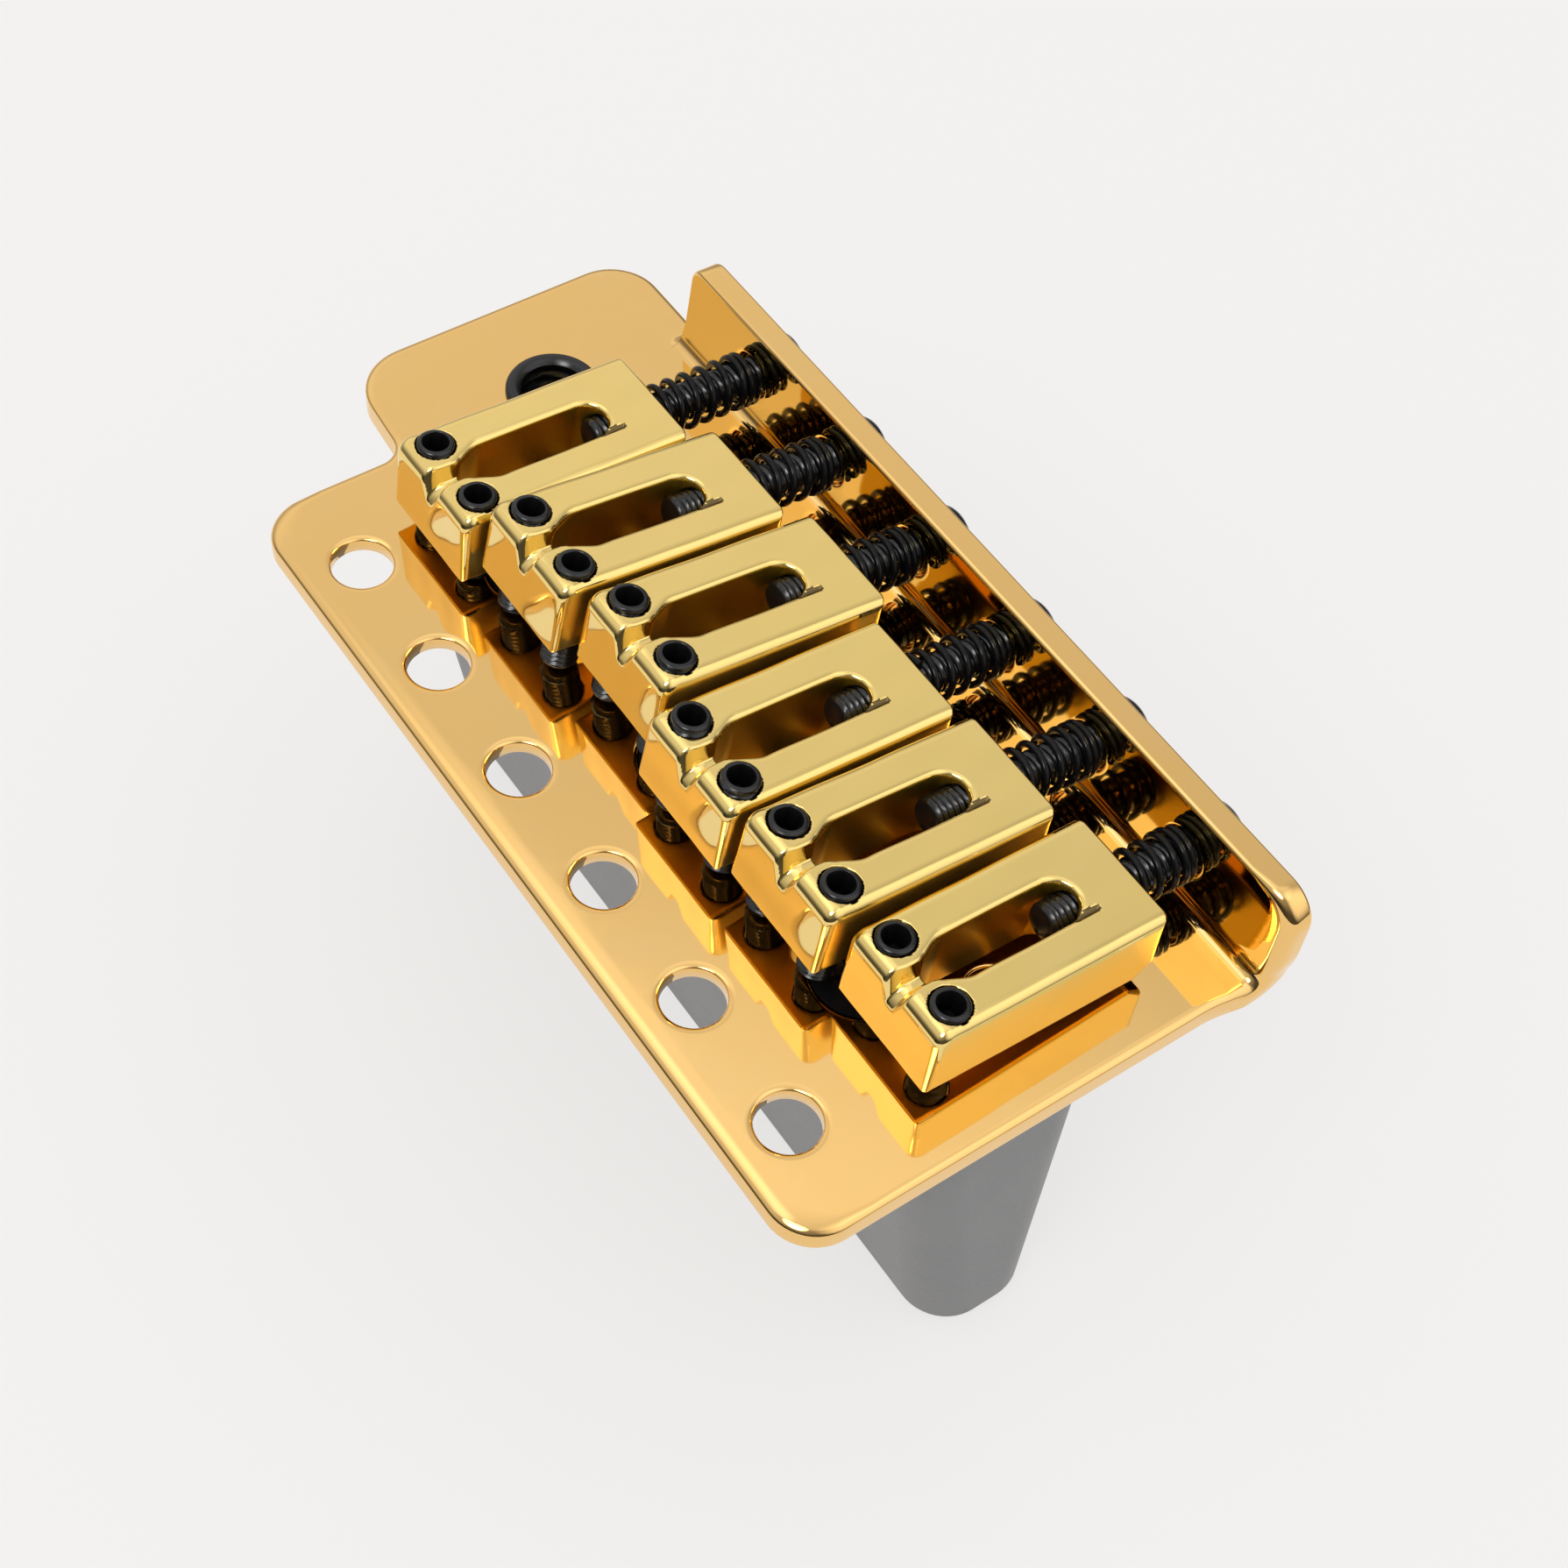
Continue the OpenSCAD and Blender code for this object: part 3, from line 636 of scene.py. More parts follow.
# Distance field of a saddle: x across, u ahead of the rear face, z over the screw axis
def saddleField(length):
    spec = saddleSpec
    inset = spec["inset"]

    def outside(x, u, z):
        front, rear = u - length + inset, -u + spec["rearInset"]
        top, bottom = z - spec["up"] + inset, -z - spec["down"] + inset
        side = np.abs(x) - spec["width"] / 2 + inset
        profile = meetRound(front, top, spec["noseRadius"])
        profile = meetRound(profile, meetRound(rear, top, spec["rearRadius"]), spec["rearBlend"])
        heel = (-u - z - spec["down"] + spec["heel"]) / math.sqrt(2)
        profile = meetRound(meetRound(profile, bottom, spec["footRadius"]), heel, spec["heelRadius"])
        ahead = smoothStep((u - length + spec["noseFrom"]) / spec["noseRun"])
        rise = np.clip((z + spec["down"]) / (spec["up"] + spec["down"]), 0, 1)
        atSide, atNose = (start + more * rise for start, more in (spec["sideShares"], spec["noseShares"]))
        return meetRound(profile, side, spec["sideRadius"] * (1 - ahead) * atSide + ahead * atNose)

    def stringSlot(x, u):
        narrow = smoothStep((spec["slotFront"] + spec["neckBefore"] - u) / spec["neckRun"])
        room = spec["neckHalf"] + (spec["slotHalf"] - spec["neckHalf"]) * narrow
        flare = 1 - spec["slotFlare"] + spec["slotFlare"] * np.cos(np.pi * (2 * narrow - 1))
        roundFrom = spec["slotRear"] + spec["slotHalf"]
        rounded = np.hypot(x, np.minimum(u - roundFrom, 0)) - spec["slotHalf"]
        slot = np.where(u < roundFrom, rounded, (np.abs(x) - room) * flare)
        return meetRound(slot, u - spec["slotFront"], spec["slotFrontRadius"])

    def stringNotch(x, u, z):
        crest, more = spec["notchCrest"]
        riseFrom, riseRun = spec["notchRise"]
        dip, dipRun = spec["notchDip"]
        crest = crest + more * smoothStep((u - riseFrom) / riseRun)
        crest = crest - dip * np.clip((u - length + dipRun) / dipRun, 0, 1) ** 2
        spread = spec["notchHalf"] + spec["notchSlope"] * (z - crest)
        notch = meetRound((np.abs(x) - spread) * spec["notchFlank"], crest - z, spec["notchRoot"])
        return meetRound(notch, spec["slotFront"] - spec["notchBefore"] - u, spec["notchEnd"])

    def field(x, y, z):
        u = -y
        rim, more = spec["slotRim"]
        riseFrom, riseRun = spec["slotRimRise"]
        rim = np.where(z > 0, rim + more * smoothStep((u - riseFrom) / riseRun), spec["underRim"])
        body = meetRound(outside(x, u, z), -stringSlot(x, u), rim)
        body = meetRound(body, -stringNotch(x, u, z), spec["notchRim"])
        body = meetRound(body, -tailField(x, u, z), spec["tailRim"])
        bore = np.hypot(x, z) - spec["screwRadius"]
        bore = np.maximum(bore, u - spec["slotRear"] - spec["slotHalf"])
        body = meetRound(body, -bore, spec["boreRim"])
        pin = np.hypot(np.abs(x) - spec["screwAside"], u - length + spec["screwIn"]) - spec["pinRadius"]
        body = meetRound(body, -pin, spec["pinRim"])
        for alongX, alongU, alongZ, phase in spec["waves"]:
            body = body + spec["wave"] * np.sin(alongX * x + alongU * u + alongZ * z + phase)
        return body
    return field


# Material of each face, as an index into the saddle's four finishes, the last three of which carry painted
# shade
def saddleFinishes(x, u, z):
    spec, paint = saddleSpec, saddlePaint
    around, up, foot = paint["slotAround"], spec["up"], -spec["down"]
    # The slot walls take the darker slot finish: painted shade inside the slot
    within = (np.abs(x) < spec["slotHalf"] + around) & (u > spec["slotRear"] - around)
    within &= (u < spec["slotFront"] + around) & (z < up - paint["slotTop"]) & (z > foot + paint["slotFoot"])
    finishes = within.astype(np.int32)
    finishes[(u > spec["slotFront"] - paint["notchBack"]) & (z > paint["notchLow"])] = 0
    # The rear face and the foot take the slot finish as well: painted shade behind and under the saddle
    finishes[(u < paint["rear"]) | (z < foot + paint["foot"])] = 1
    # Faces in the tail cut take the dark tail finish: painted shade in the dent
    finishes[(tailField(x, u, z) < paint["tail"]) & (z > up - paint["tailTop"])] = 3
    # The sides below the top edge take the darker side finish: painted shade between neighbouring saddles
    finishes[(np.abs(x) > spec["width"] / 2 - paint["side"]) & (z < up - paint["sideTop"])] = 2
    return finishes


def makeSaddles():
    spec = saddleSpec
    low, high = localBox("saddle_1", 1)
    length = high[1] - low[1]
    half = spec["width"] / 2
    points, faces, normals = skinField(saddleField(length), (-half, -length, -spec["down"]),
                                       (half, 0, spec["up"]), spec["cell"])
    x, y, z = points[faces].mean(1).T
    finishes = saddleFinishes(x, -y, z)
    for number in saddleNumbers:
        rear = localBox(f"saddle_{number}", number)[1][1]
        place = screwFrame(number) @ Matrix.Translation((0, rear, 0))
        saddle = meshPiece(f"castSaddle{number}", points, faces, place, saddleGold, normals)
        for material in (slotShadeGold, sideShadeGold, tailShadeGold):
            saddle.data.materials.append(material)
        saddle.data.polygons.foreach_set("material_index", finishes)
        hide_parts(f"saddle_{number}")
        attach(saddle, f"saddle_{number}")
    return len(faces)


print("saddles skinned with", makeSaddles(), "quads each")


# Starts a geometry tree with its number inputs and a Finish
def startTree(name, numbers):
    tree = bpy.data.node_groups.new(name, "GeometryNodeTree")
    sockets = tree.interface
    sockets.new_socket("Geometry", in_out="INPUT", socket_type="NodeSocketGeometry")
    for label, value in numbers.items():
        sockets.new_socket(label, in_out="INPUT", socket_type="NodeSocketFloat").default_value = value
    sockets.new_socket("Finish", in_out="INPUT", socket_type="NodeSocketMaterial")
    sockets.new_socket("Geometry", in_out="OUTPUT", socket_type="NodeSocketGeometry")
    return tree, tree.nodes.new("NodeGroupInput").outputs


def endTree(tree, geometry, material):
    real = addNode(tree, "GeometryNodeRealizeInstances", {"Geometry": geometry})
    painted = addNode(tree, "GeometryNodeSetMaterial", {"Geometry": real.outputs[0], "Material": material})
    out = tree.nodes.new("NodeGroupOutput")
    tree.links.new(painted.outputs[0], out.inputs[0])
    return tree


# Tree that cuts a helical thread into the wall of a turned blank standing along Z
def threadTree():
    tree, given = startTree("cutThread", {
        "Pitch": 0.0005, "Depth": 0.00025, "From": 0, "To": 0.01, "Wall Radius": 0.0015, "Run Out": 0.0003,
        "Flat": 0.25, "Wall Reach": 0.00002})
    position = addNode(tree, "GeometryNodeInputPosition").outputs[0]
    x, y, z = addNode(tree, "ShaderNodeSeparateXYZ", {0: position}).outputs
    around = calc(tree, "DIVIDE", calc(tree, "ARCTAN2", y, x), 2 * math.pi)
    climb = calc(tree, "SUBTRACT", calc(tree, "DIVIDE", z, given["Pitch"]), around)
    ridge = calc(tree, "ABSOLUTE", calc(tree, "MULTIPLY_ADD", calc(tree, "FRACT", climb), 2, -1))
    steeper = calc(tree, "ADD", 1, given["Flat"])
    groove = calc(tree, "MINIMUM", calc(tree, "MULTIPLY", ridge, steeper), 1)
    squares = calc(tree, "ADD", calc(tree, "MULTIPLY", x, x), calc(tree, "MULTIPLY", y, y))
    radius = calc(tree, "SQRT", squares)
    off = calc(tree, "ABSOLUTE", calc(tree, "SUBTRACT", radius, given["Wall Radius"]))
    onWall = calc(tree, "LESS_THAN", off, given["Wall Reach"])
    fromEnd = calc(tree, "DIVIDE", calc(tree, "SUBTRACT", z, given["From"]), given["Run Out"])
    toEnd = calc(tree, "DIVIDE", calc(tree, "SUBTRACT", given["To"], z), given["Run Out"])
    nearer = calc(tree, "MINIMUM", calc(tree, "MINIMUM", fromEnd, toEnd), 1)
    fade = calc(tree, "MULTIPLY", calc(tree, "MAXIMUM", nearer, 0), onWall)
    sink = calc(tree, "MULTIPLY", calc(tree, "MULTIPLY", groove, given["Depth"]), fade)
    scale = calc(tree, "MULTIPLY", calc(tree, "DIVIDE", sink, calc(tree, "MAXIMUM", radius, 0.0001)), -1)
    inward = addNode(tree, "ShaderNodeCombineXYZ", {
        "X": calc(tree, "MULTIPLY", x, scale), "Y": calc(tree, "MULTIPLY", y, scale)}).outputs[0]
    moved = addNode(tree, "GeometryNodeSetPosition", {"Geometry": given["Geometry"], "Offset": inward})
    return endTree(tree, moved.outputs[0], given["Finish"])


# Tree that winds a compression spring along Z, with its end turns closed
def springTree():
    tree, given = startTree("coilSpring", {
        "Outside Radius": 0.0025, "Wire Radius": 0.0003, "Length": 0.008, "Turns": 7, "Closed First": 0.8,
        "Closed Last": 0.8, "Start Turn": 0, "Turn Points": 32, "Closed Gap": 0.08})
    wire = given["Wire Radius"]
    line = addNode(tree, "GeometryNodeCurvePrimitiveLine", {"End": (0, 0, 1)})
    count = calc(tree, "MULTIPLY", given["Turns"], given["Turn Points"])
    fine = addNode(tree, "GeometryNodeResampleCurve", {"Curve": line.outputs[0], "Count": count})
    share = addNode(tree, "GeometryNodeSplineParameter").outputs["Factor"]
    turn = calc(tree, "MULTIPLY", share, given["Turns"])
    angle = calc(tree, "MULTIPLY", calc(tree, "ADD", turn, given["Start Turn"]), 2 * math.pi)
    ring = calc(tree, "SUBTRACT", given["Outside Radius"], wire)
    closed = calc(tree, "MULTIPLY", wire, calc(tree, "ADD", 2, given["Closed Gap"]))
    shut = calc(tree, "ADD", given["Closed First"], given["Closed Last"])
    working = calc(tree, "SUBTRACT", given["Turns"], shut)
    run = calc(tree, "SUBTRACT", given["Length"], calc(tree, "MULTIPLY", wire, 2))
    pitch = calc(tree, "DIVIDE", calc(tree, "SUBTRACT", run, calc(tree, "MULTIPLY", closed, shut)), working)
    first = calc(tree, "MULTIPLY", calc(tree, "MINIMUM", turn, given["Closed First"]), closed)
    past = calc(tree, "MAXIMUM", calc(tree, "SUBTRACT", turn, given["Closed First"]), 0)
    middle = calc(tree, "MULTIPLY", calc(tree, "MINIMUM", past, working), pitch)
    last = calc(tree, "MULTIPLY", calc(tree, "MAXIMUM", calc(tree, "SUBTRACT", past, working), 0), closed)
    height = calc(tree, "ADD", calc(tree, "ADD", first, middle), calc(tree, "ADD", last, wire))
    spot = addNode(tree, "ShaderNodeCombineXYZ", {
        "X": calc(tree, "MULTIPLY", calc(tree, "SINE", angle), ring),
        "Y": calc(tree, "MULTIPLY", calc(tree, "COSINE", angle), ring), "Z": height})
    coil = addNode(tree, "GeometryNodeSetPosition", {
        "Geometry": fine.outputs[0], "Position": spot.outputs[0]})
    circle = addNode(tree, "GeometryNodeCurvePrimitiveCircle", {"Resolution": 14, "Radius": wire})
    tube = addNode(tree, "GeometryNodeCurveToMesh", {
        "Curve": coil.outputs[0], "Profile Curve": circle.outputs[0], "Fill Caps": True})
    return endTree(tree, tube.outputs[0], given["Finish"])


cutThread = threadTree()
coilSpring = springTree()


# Runs a tree on a piece with the given inputs and keeps the result as its mesh
def growPiece(piece, tree, values):
    modifier = piece.modifiers.new(tree.name, "NODES")
    modifier.node_group = tree
    for item in tree.interface.items_tree:
        if item.in_out == "INPUT" and item.name in values:
            modifier[item.identifier] = values[item.name]
    settled(piece)
    return piece


springSpec = {
    "outside": 4.4, "wire": 0.55, "turnPitch": 1.45, "closed": (1.8, 0.7), "startTurn": 0.1, "turnStep": 0.13,
}


def makeSprings():
    spec = springSpec
    for number in saddleNumbers:
        low, high = localBox(f"intonation_spring_{number}", number)
        length = high[1] - low[1]
        closedFirst, closedLast = spec["closed"]
        shut = closedFirst + closedLast
        working = (length - spec["wire"] * (1 + shut)) / spec["turnPitch"]
        name = f"coilWire{number}"
        piece = addObject(name, bpy.data.meshes.new(name))
        growPiece(piece, coilSpring, {
            "Outside Radius": spec["outside"] / 2 * mm, "Wire Radius": spec["wire"] / 2 * mm,
            "Length": length * mm, "Turns": working + shut, "Closed First": closedFirst,
            "Closed Last": closedLast, "Start Turn": spec["startTurn"] + spec["turnStep"] * number,
            "Finish": springBlack})
        lay = Matrix.Translation((0, high[1], 0)) @ Matrix.Rotation(math.pi / 2, 4, "X")
        lay = lay @ Matrix.Scale(1 / mm, 4)
        piece.data.transform(screwFrame(number) @ lay)
        piece.data.shade_smooth()
        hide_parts(f"intonation_spring_{number}")
        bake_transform(piece)


makeSprings()
print("springs wound")


# Turned blank along Z: rows of (radius, height), where a radius may be a function of the angle
def turned(rows, angles):
    points, faces = [], []
    count = len(angles)
    for radius, height in rows:
        for angle in angles:
            r = radius(angle) if callable(radius) else radius
            points.append((r * math.cos(angle), r * math.sin(angle), height))
    for row in range(len(rows) - 1):
        for k in range(count):
            n = (k + 1) % count
            a, b = row * count, (row + 1) * count
            faces.append((a + k, a + n, b + n, b + k))
    return points, faces, count


# Closes both ends of a blank with a fan round a point
def capped(points, faces, count, first, last):
    start, end = len(points), len(points) + 1
    points += [(0, 0, first), (0, 0, last)]
    tail = start - count
    for k in range(count):
        n = (k + 1) % count
        faces.append((start, n, k))
        faces.append((end, tail + k, tail + n))
    return points, faces


def evenAngles(count):
    return [2 * math.pi * k / count for k in range(count)]


# Rows that a thread can be cut into
def threadRows(radius, start, end, steps):
    return [(radius, start + (end - start) * k / steps) for k in range(steps + 1)]


# Cuts a thread into a turned blank and leaves the piece at the origin, in metres
def threadedPiece(name, points, faces, spec, start, end):
    piece = meshPiece(name, points, faces, Matrix.Scale(mm, 4), screwBlack)
    return growPiece(piece, cutThread, {
        "Pitch": spec["pitch"] * mm, "Depth": spec["depth"] * mm, "From": start * mm, "To": end * mm,
        "Wall Radius": spec["radius"] * mm, "Run Out": spec["runOut"] * mm, "Finish": screwBlack})


# Rows are (wider than the foot, height), (inwards, share of the chamfer below the top), (wider than the
# socket's rim, depth) and (scale of the hexagon, deeper than the socket)
grubSpec = {
    "radius": 1.43, "pitch": 0.5, "depth": 0.27, "rowStep": 0.0833, "threadFrom": 0.35, "runOut": 0.3,
    "cutFrom": 0.3, "chamfer": 0.3, "cutTo": 0.9, "points": 48, "sharpDegrees": 40, "turnStep": 0.9,
    "foot": 1.1, "footRows": ((-0.44, 0), (0, 0), (0.08, 0.04)),
    "chamferRows": ((0.05, 0.5), (0.16, 0.2), (0.3, 0)),
    "hexAcross": 1.5, "hexTop": 0.6, "hexDeep": 2.0, "hexRows": ((1, 0), (0.9, 0.05)),
    "hexEnd": (0.15, 0.3), "hexTip": 0.33, "rimShare": 1.33,
    "mouthRows": ((0.05, 0), (0, 0.05), (-0.08, 0.35)), "darkBelow": 0.4, "darkInside": 0.02,
}


def grubScrew(name, length, place):
    spec = grubSpec
    r, chamfer, floor = spec["radius"], spec["chamfer"], length - spec["hexDeep"]
    rim = spec["hexAcross"] / 2 * spec["rimShare"]

    def hexagon(scale):
        return lambda angle: spec["hexAcross"] / 2 * scale / math.cos(angle % (math.pi / 3) - math.pi / 6)

    start, end = spec["threadFrom"], length - chamfer
    rows = [(spec["foot"] + wider, height) for wider, height in spec["footRows"]]
    rows += threadRows(r, start, end, round((end - start) / spec["rowStep"]))
    rows += [(r - inwards, length - chamfer * share) for inwards, share in spec["chamferRows"]]
    rows += [(rim + wider, length - depth) for wider, depth in spec["mouthRows"]]
    rows.append((hexagon(1), length - spec["hexTop"]))
    rows += [(hexagon(scale), floor - deeper) for scale, deeper in spec["hexRows"]]
    rows.append((spec["hexEnd"][0], floor - spec["hexEnd"][1]))
    points, faces, count = turned(rows, evenAngles(spec["points"]))
    points, faces = capped(points, faces, count, 0, floor - spec["hexTip"])
    piece = threadedPiece(name, points, faces, spec, spec["cutFrom"], length - chamfer * spec["cutTo"])
    # Faces deep in the hex socket take the dull near-black: painted shade in the recess
    piece.data.materials.append(socketShadeBlack)
    for face in piece.data.polygons:
        x, y, z = face.center / mm
        if z > floor - spec["darkBelow"] and math.hypot(x, y) < rim - spec["darkInside"]:
            face.material_index = 1
    piece.data.transform(place @ Matrix.Scale(1 / mm, 4))
    return evenShade(piece, spec["sharpDegrees"])


def makeGrubScrews():
    for number in saddleNumbers:
        for side, letter in ((-1, "a"), (1, "b")):
            node = f"height_screw_{number}{letter}"
            low, high = localBox(node, number)
            middle = (low + high) / 2
            place = screwFrame(number) @ Matrix.Translation((middle[0], middle[1], low[2]))
            turn = Matrix.Rotation(grubSpec["turnStep"] * number + side, 4, "Z")
            piece = grubScrew(f"grubScrew{number}{letter}", high[2] - low[2], place @ turn)
            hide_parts(node)
            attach(piece, node)


makeGrubScrews()
print("grub screws cut")


# Rows are (inwards, height over the tip), (wider than the thread, height over the seat), (inwards from the
# head's edge, height) and (scale, share of the depth). The dome starts at these shares of width and height.
panSpec = {
    "radius": 1.5, "pitch": 0.5, "depth": 0.16, "rowStep": 0.0833, "threadFrom": 0.35, "cutFrom": 0.3,
    "runOut": 0.3, "head": 2.58, "thick": 1.6, "inset": 0.02, "dome": (0.55, 0.35), "domeSteps": 12,
    "tipRows": ((0.9, 0), (0.3, 0), (0.2, 0.05)), "neckRows": ((0, -0.05), (0.1, 0)),
    "headRows": ((0.15, 0), (0.03, 0.03), (0, 0.15)),
    "crossHalf": 0.4, "crossReach": 1.35, "crossDeep": 1.0, "crossShrink": 0.999, "crossPoints": (3, 8),
    "crossRows": ((1.06, 0), (1, 0.07), (0.8, 0.6), (0.55, 1)), "crossEnd": (0.1, 0.1), "crossTip": 0.12,
    "sharpDegrees": 40, "turnStep": 0.5,
}


# Pan-head screw: head up along Z, thread below it
def panScrew(name, length, place):
    spec = panSpec
    wide, reach, deep = spec["crossHalf"], spec["crossReach"], spec["crossDeep"]
    r, head, top = spec["radius"], spec["head"], spec["thick"]
    notch = math.atan2(wide, reach)
    within, between = spec["crossPoints"]
    angles = []
    for quarter in range(4):
        base = quarter * math.pi / 2
        angles += [base + notch * k / within for k in range(-within, within + 1)]
        inner = (math.pi / 2 - 2 * notch) / between
        angles += [base + notch + inner * k for k in range(1, between)]

    def cross(scale):
        def radius(angle):
            off = abs((angle + math.pi / 4) % (math.pi / 2) - math.pi / 4)
            side = wide * scale / max(math.sin(off), 1e-6)
            other = wide * scale / max(math.cos(off), 1e-6)
            return min(reach * scale / math.cos(off), max(side, other)) * spec["crossShrink"]
        return radius

    start, end = spec["threadFrom"] - length, -spec["threadFrom"]
    rows = [(r - inwards, height - length) for inwards, height in spec["tipRows"]]
    rows += threadRows(r, start, end, round((end - start) / spec["rowStep"]))
    rows += [(r + wider, height) for wider, height in spec["neckRows"]]
    rows += [(head - inwards, height) for inwards, height in spec["headRows"]]
    edge, foot = spec["dome"]
    for angle in quarterTurn(spec["domeSteps"])[1:-1]:
        radius = head * (edge + (1 - edge) * math.cos(angle))
        rows.append((radius, top * (foot + (1 - foot) * math.sin(angle))))
    rows += [(cross(scale), top - deep * share) for scale, share in spec["crossRows"]]
    rows.append((spec["crossEnd"][0], top - deep - spec["crossEnd"][1]))
    points, faces, count = turned(rows, angles)
    points, faces = capped(points, faces, count, -length, top - deep - spec["crossTip"])
    piece = threadedPiece(name, points, faces, spec, spec["cutFrom"] - length, -spec["cutFrom"])
    piece.data.transform(place @ Matrix.Scale(1 / mm, 4))
    return evenShade(piece, spec["sharpDegrees"])


def makeIntonationScrews():
    for number in saddleNumbers:
        node = f"intonation_screw_{number}"
        low, high = localBox(node, number)
        seat = high[1] - panSpec["thick"] - panSpec["inset"]
        lay = Matrix.Translation((0, seat, 0)) @ Matrix.Rotation(-math.pi / 2, 4, "X")
        turn = Matrix.Rotation(panSpec["turnStep"] * number, 4, "Z")
        piece = panScrew(f"panScrew{number}", seat - low[1], screwFrame(number) @ lay @ turn)
        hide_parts(node)
        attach(piece, node)


makeIntonationScrews()
print("intonation screws cut")


# Rims are rows of (inwards from the flange's edge, height) and (inwards, share of the flange's height)
bushSpec = {
    "radius": 2.6, "pitch": 1.0, "depth": -0.3, "runOut": 0.5, "steps": 110, "cutWithin": (0.3, 0.5),
    "outer": 3.45, "ease": 0.2, "boreEase": 0.1, "seat": 0.02, "threadWithin": (0.4, 0.15),
    "lowRim": ((0.1, 0.02), (0, 0.06)), "middleRim": ((0, 0.35), (0.08, 0.62)),
    "highRim": ((0.28, 0.06), (0.5, 0)), "mouth": ((0.45, 0), (0.35, 0.03)), "points": 64, "sharpDegrees": 40,
}


def armBush():
    spec = bushSpec
    low, high = (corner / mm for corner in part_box("arm_bush"))
    centre = (low + high) / 2
    radius, top, bottom = (high.x - low.x) / 2, high.z, low.z
    bore, outer, ease = spec["radius"], spec["outer"], spec["ease"]
    rows = [(bore + spec["boreEase"], bottom), (outer - ease, bottom), (outer, bottom + ease)]
    rows.append((outer, spec["seat"]))
    rows += [(radius - inwards, height) for inwards, height in spec["lowRim"]]
    rows += [(radius - inwards, top * share) for inwards, share in spec["middleRim"]]
    rows += [(radius - inwards, top - under) for inwards, under in spec["highRim"]]
    rows += [(bore + outwards, top - under) for outwards, under in spec["mouth"]]
    under, over = spec["threadWithin"]
    rows += threadRows(bore, top - under, bottom + over, spec["steps"])
    points, faces, count = turned(rows, evenAngles(spec["points"]))
    last = len(points) - count
    faces += [(last + k, last + (k + 1) % count, (k + 1) % count, k) for k in range(count)]
    over, under = spec["cutWithin"]
    piece = threadedPiece("armSocket", points, faces, spec, bottom + over, top - under)
    piece.data.transform(Matrix.Translation((centre.x * mm, centre.y * mm, 0)))
    evenShade(piece, spec["sharpDegrees"])
    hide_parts("arm_bush")
    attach(piece, "plate")


armBush()
print("arm bush turned")


# Cutter rows are (outwards, height over the underside) at the mouth, and the bores run past the top
blockSpec = {
    "bass": 34.0, "treble": 36.0, "front": 6.5, "rear": 23.5, "taper": 6.7, "top": -2.2, "edgeRadius": 4.0,
    "edgeShrink": 0.5, "longestSide": 100, "footRadius": 0.7, "footSteps": 5,
    "bossRadius": 6.0, "bossBottom": -18.0, "bossRows": ((0.6, 0), (0.2, 0.1), (0, 0.5)), "bossUnder": 0.02,
    "ballRadius": 2.6, "ballDeep": 22.0, "ballRows": ((0.5, -0.2), (0.3, 0), (0, 0.3)), "ballCone": 0.9,
    "stringRadius": 1.6, "stringPoints": 48, "hookRadius": 1.4, "hookDeep": 8.0, "hookPoints": 32,
    "hookRows": ((0.4, -0.2), (0.2, 0), (0, 0.2)), "hookTip": (0.1, 0.7), "past": 1,
    "bushGap": 0.05, "bushBottom": -16.2, "screwRadius": 2.05, "screwBottom": -13.0, "screwPoints": 32,
    "weld": 0.001, "sharpDegrees": 32,
}


def cutterPiece(name, rows, centre, count=64):
    points, faces, count = turned(rows, evenAngles(count))
    points, faces = capped(points, faces, count, rows[0][1], rows[-1][1])
    place = Matrix.Translation(Vector(centre) * mm) @ Matrix.Scale(mm, 4)
    return meshPiece(name, points, faces, place, blockGrey)


def joinPieces(name, pieces):
    maker = bmesh.new()
    for piece in pieces:
        maker.from_mesh(piece.data)
        bpy.data.objects.remove(piece)
    mesh = bpy.data.meshes.new(name)
    maker.to_mesh(mesh)
    maker.free()
    return addObject(name, mesh)


# Joins a tool to a piece or cuts it out, and keeps the result as the piece's mesh
def carve(piece, tool, operation):
    modifier = piece.modifiers.new(tool.name, "BOOLEAN")
    modifier.operation, modifier.object, modifier.solver = operation, tool, "EXACT"
    settled(piece)
    bpy.data.objects.remove(tool)


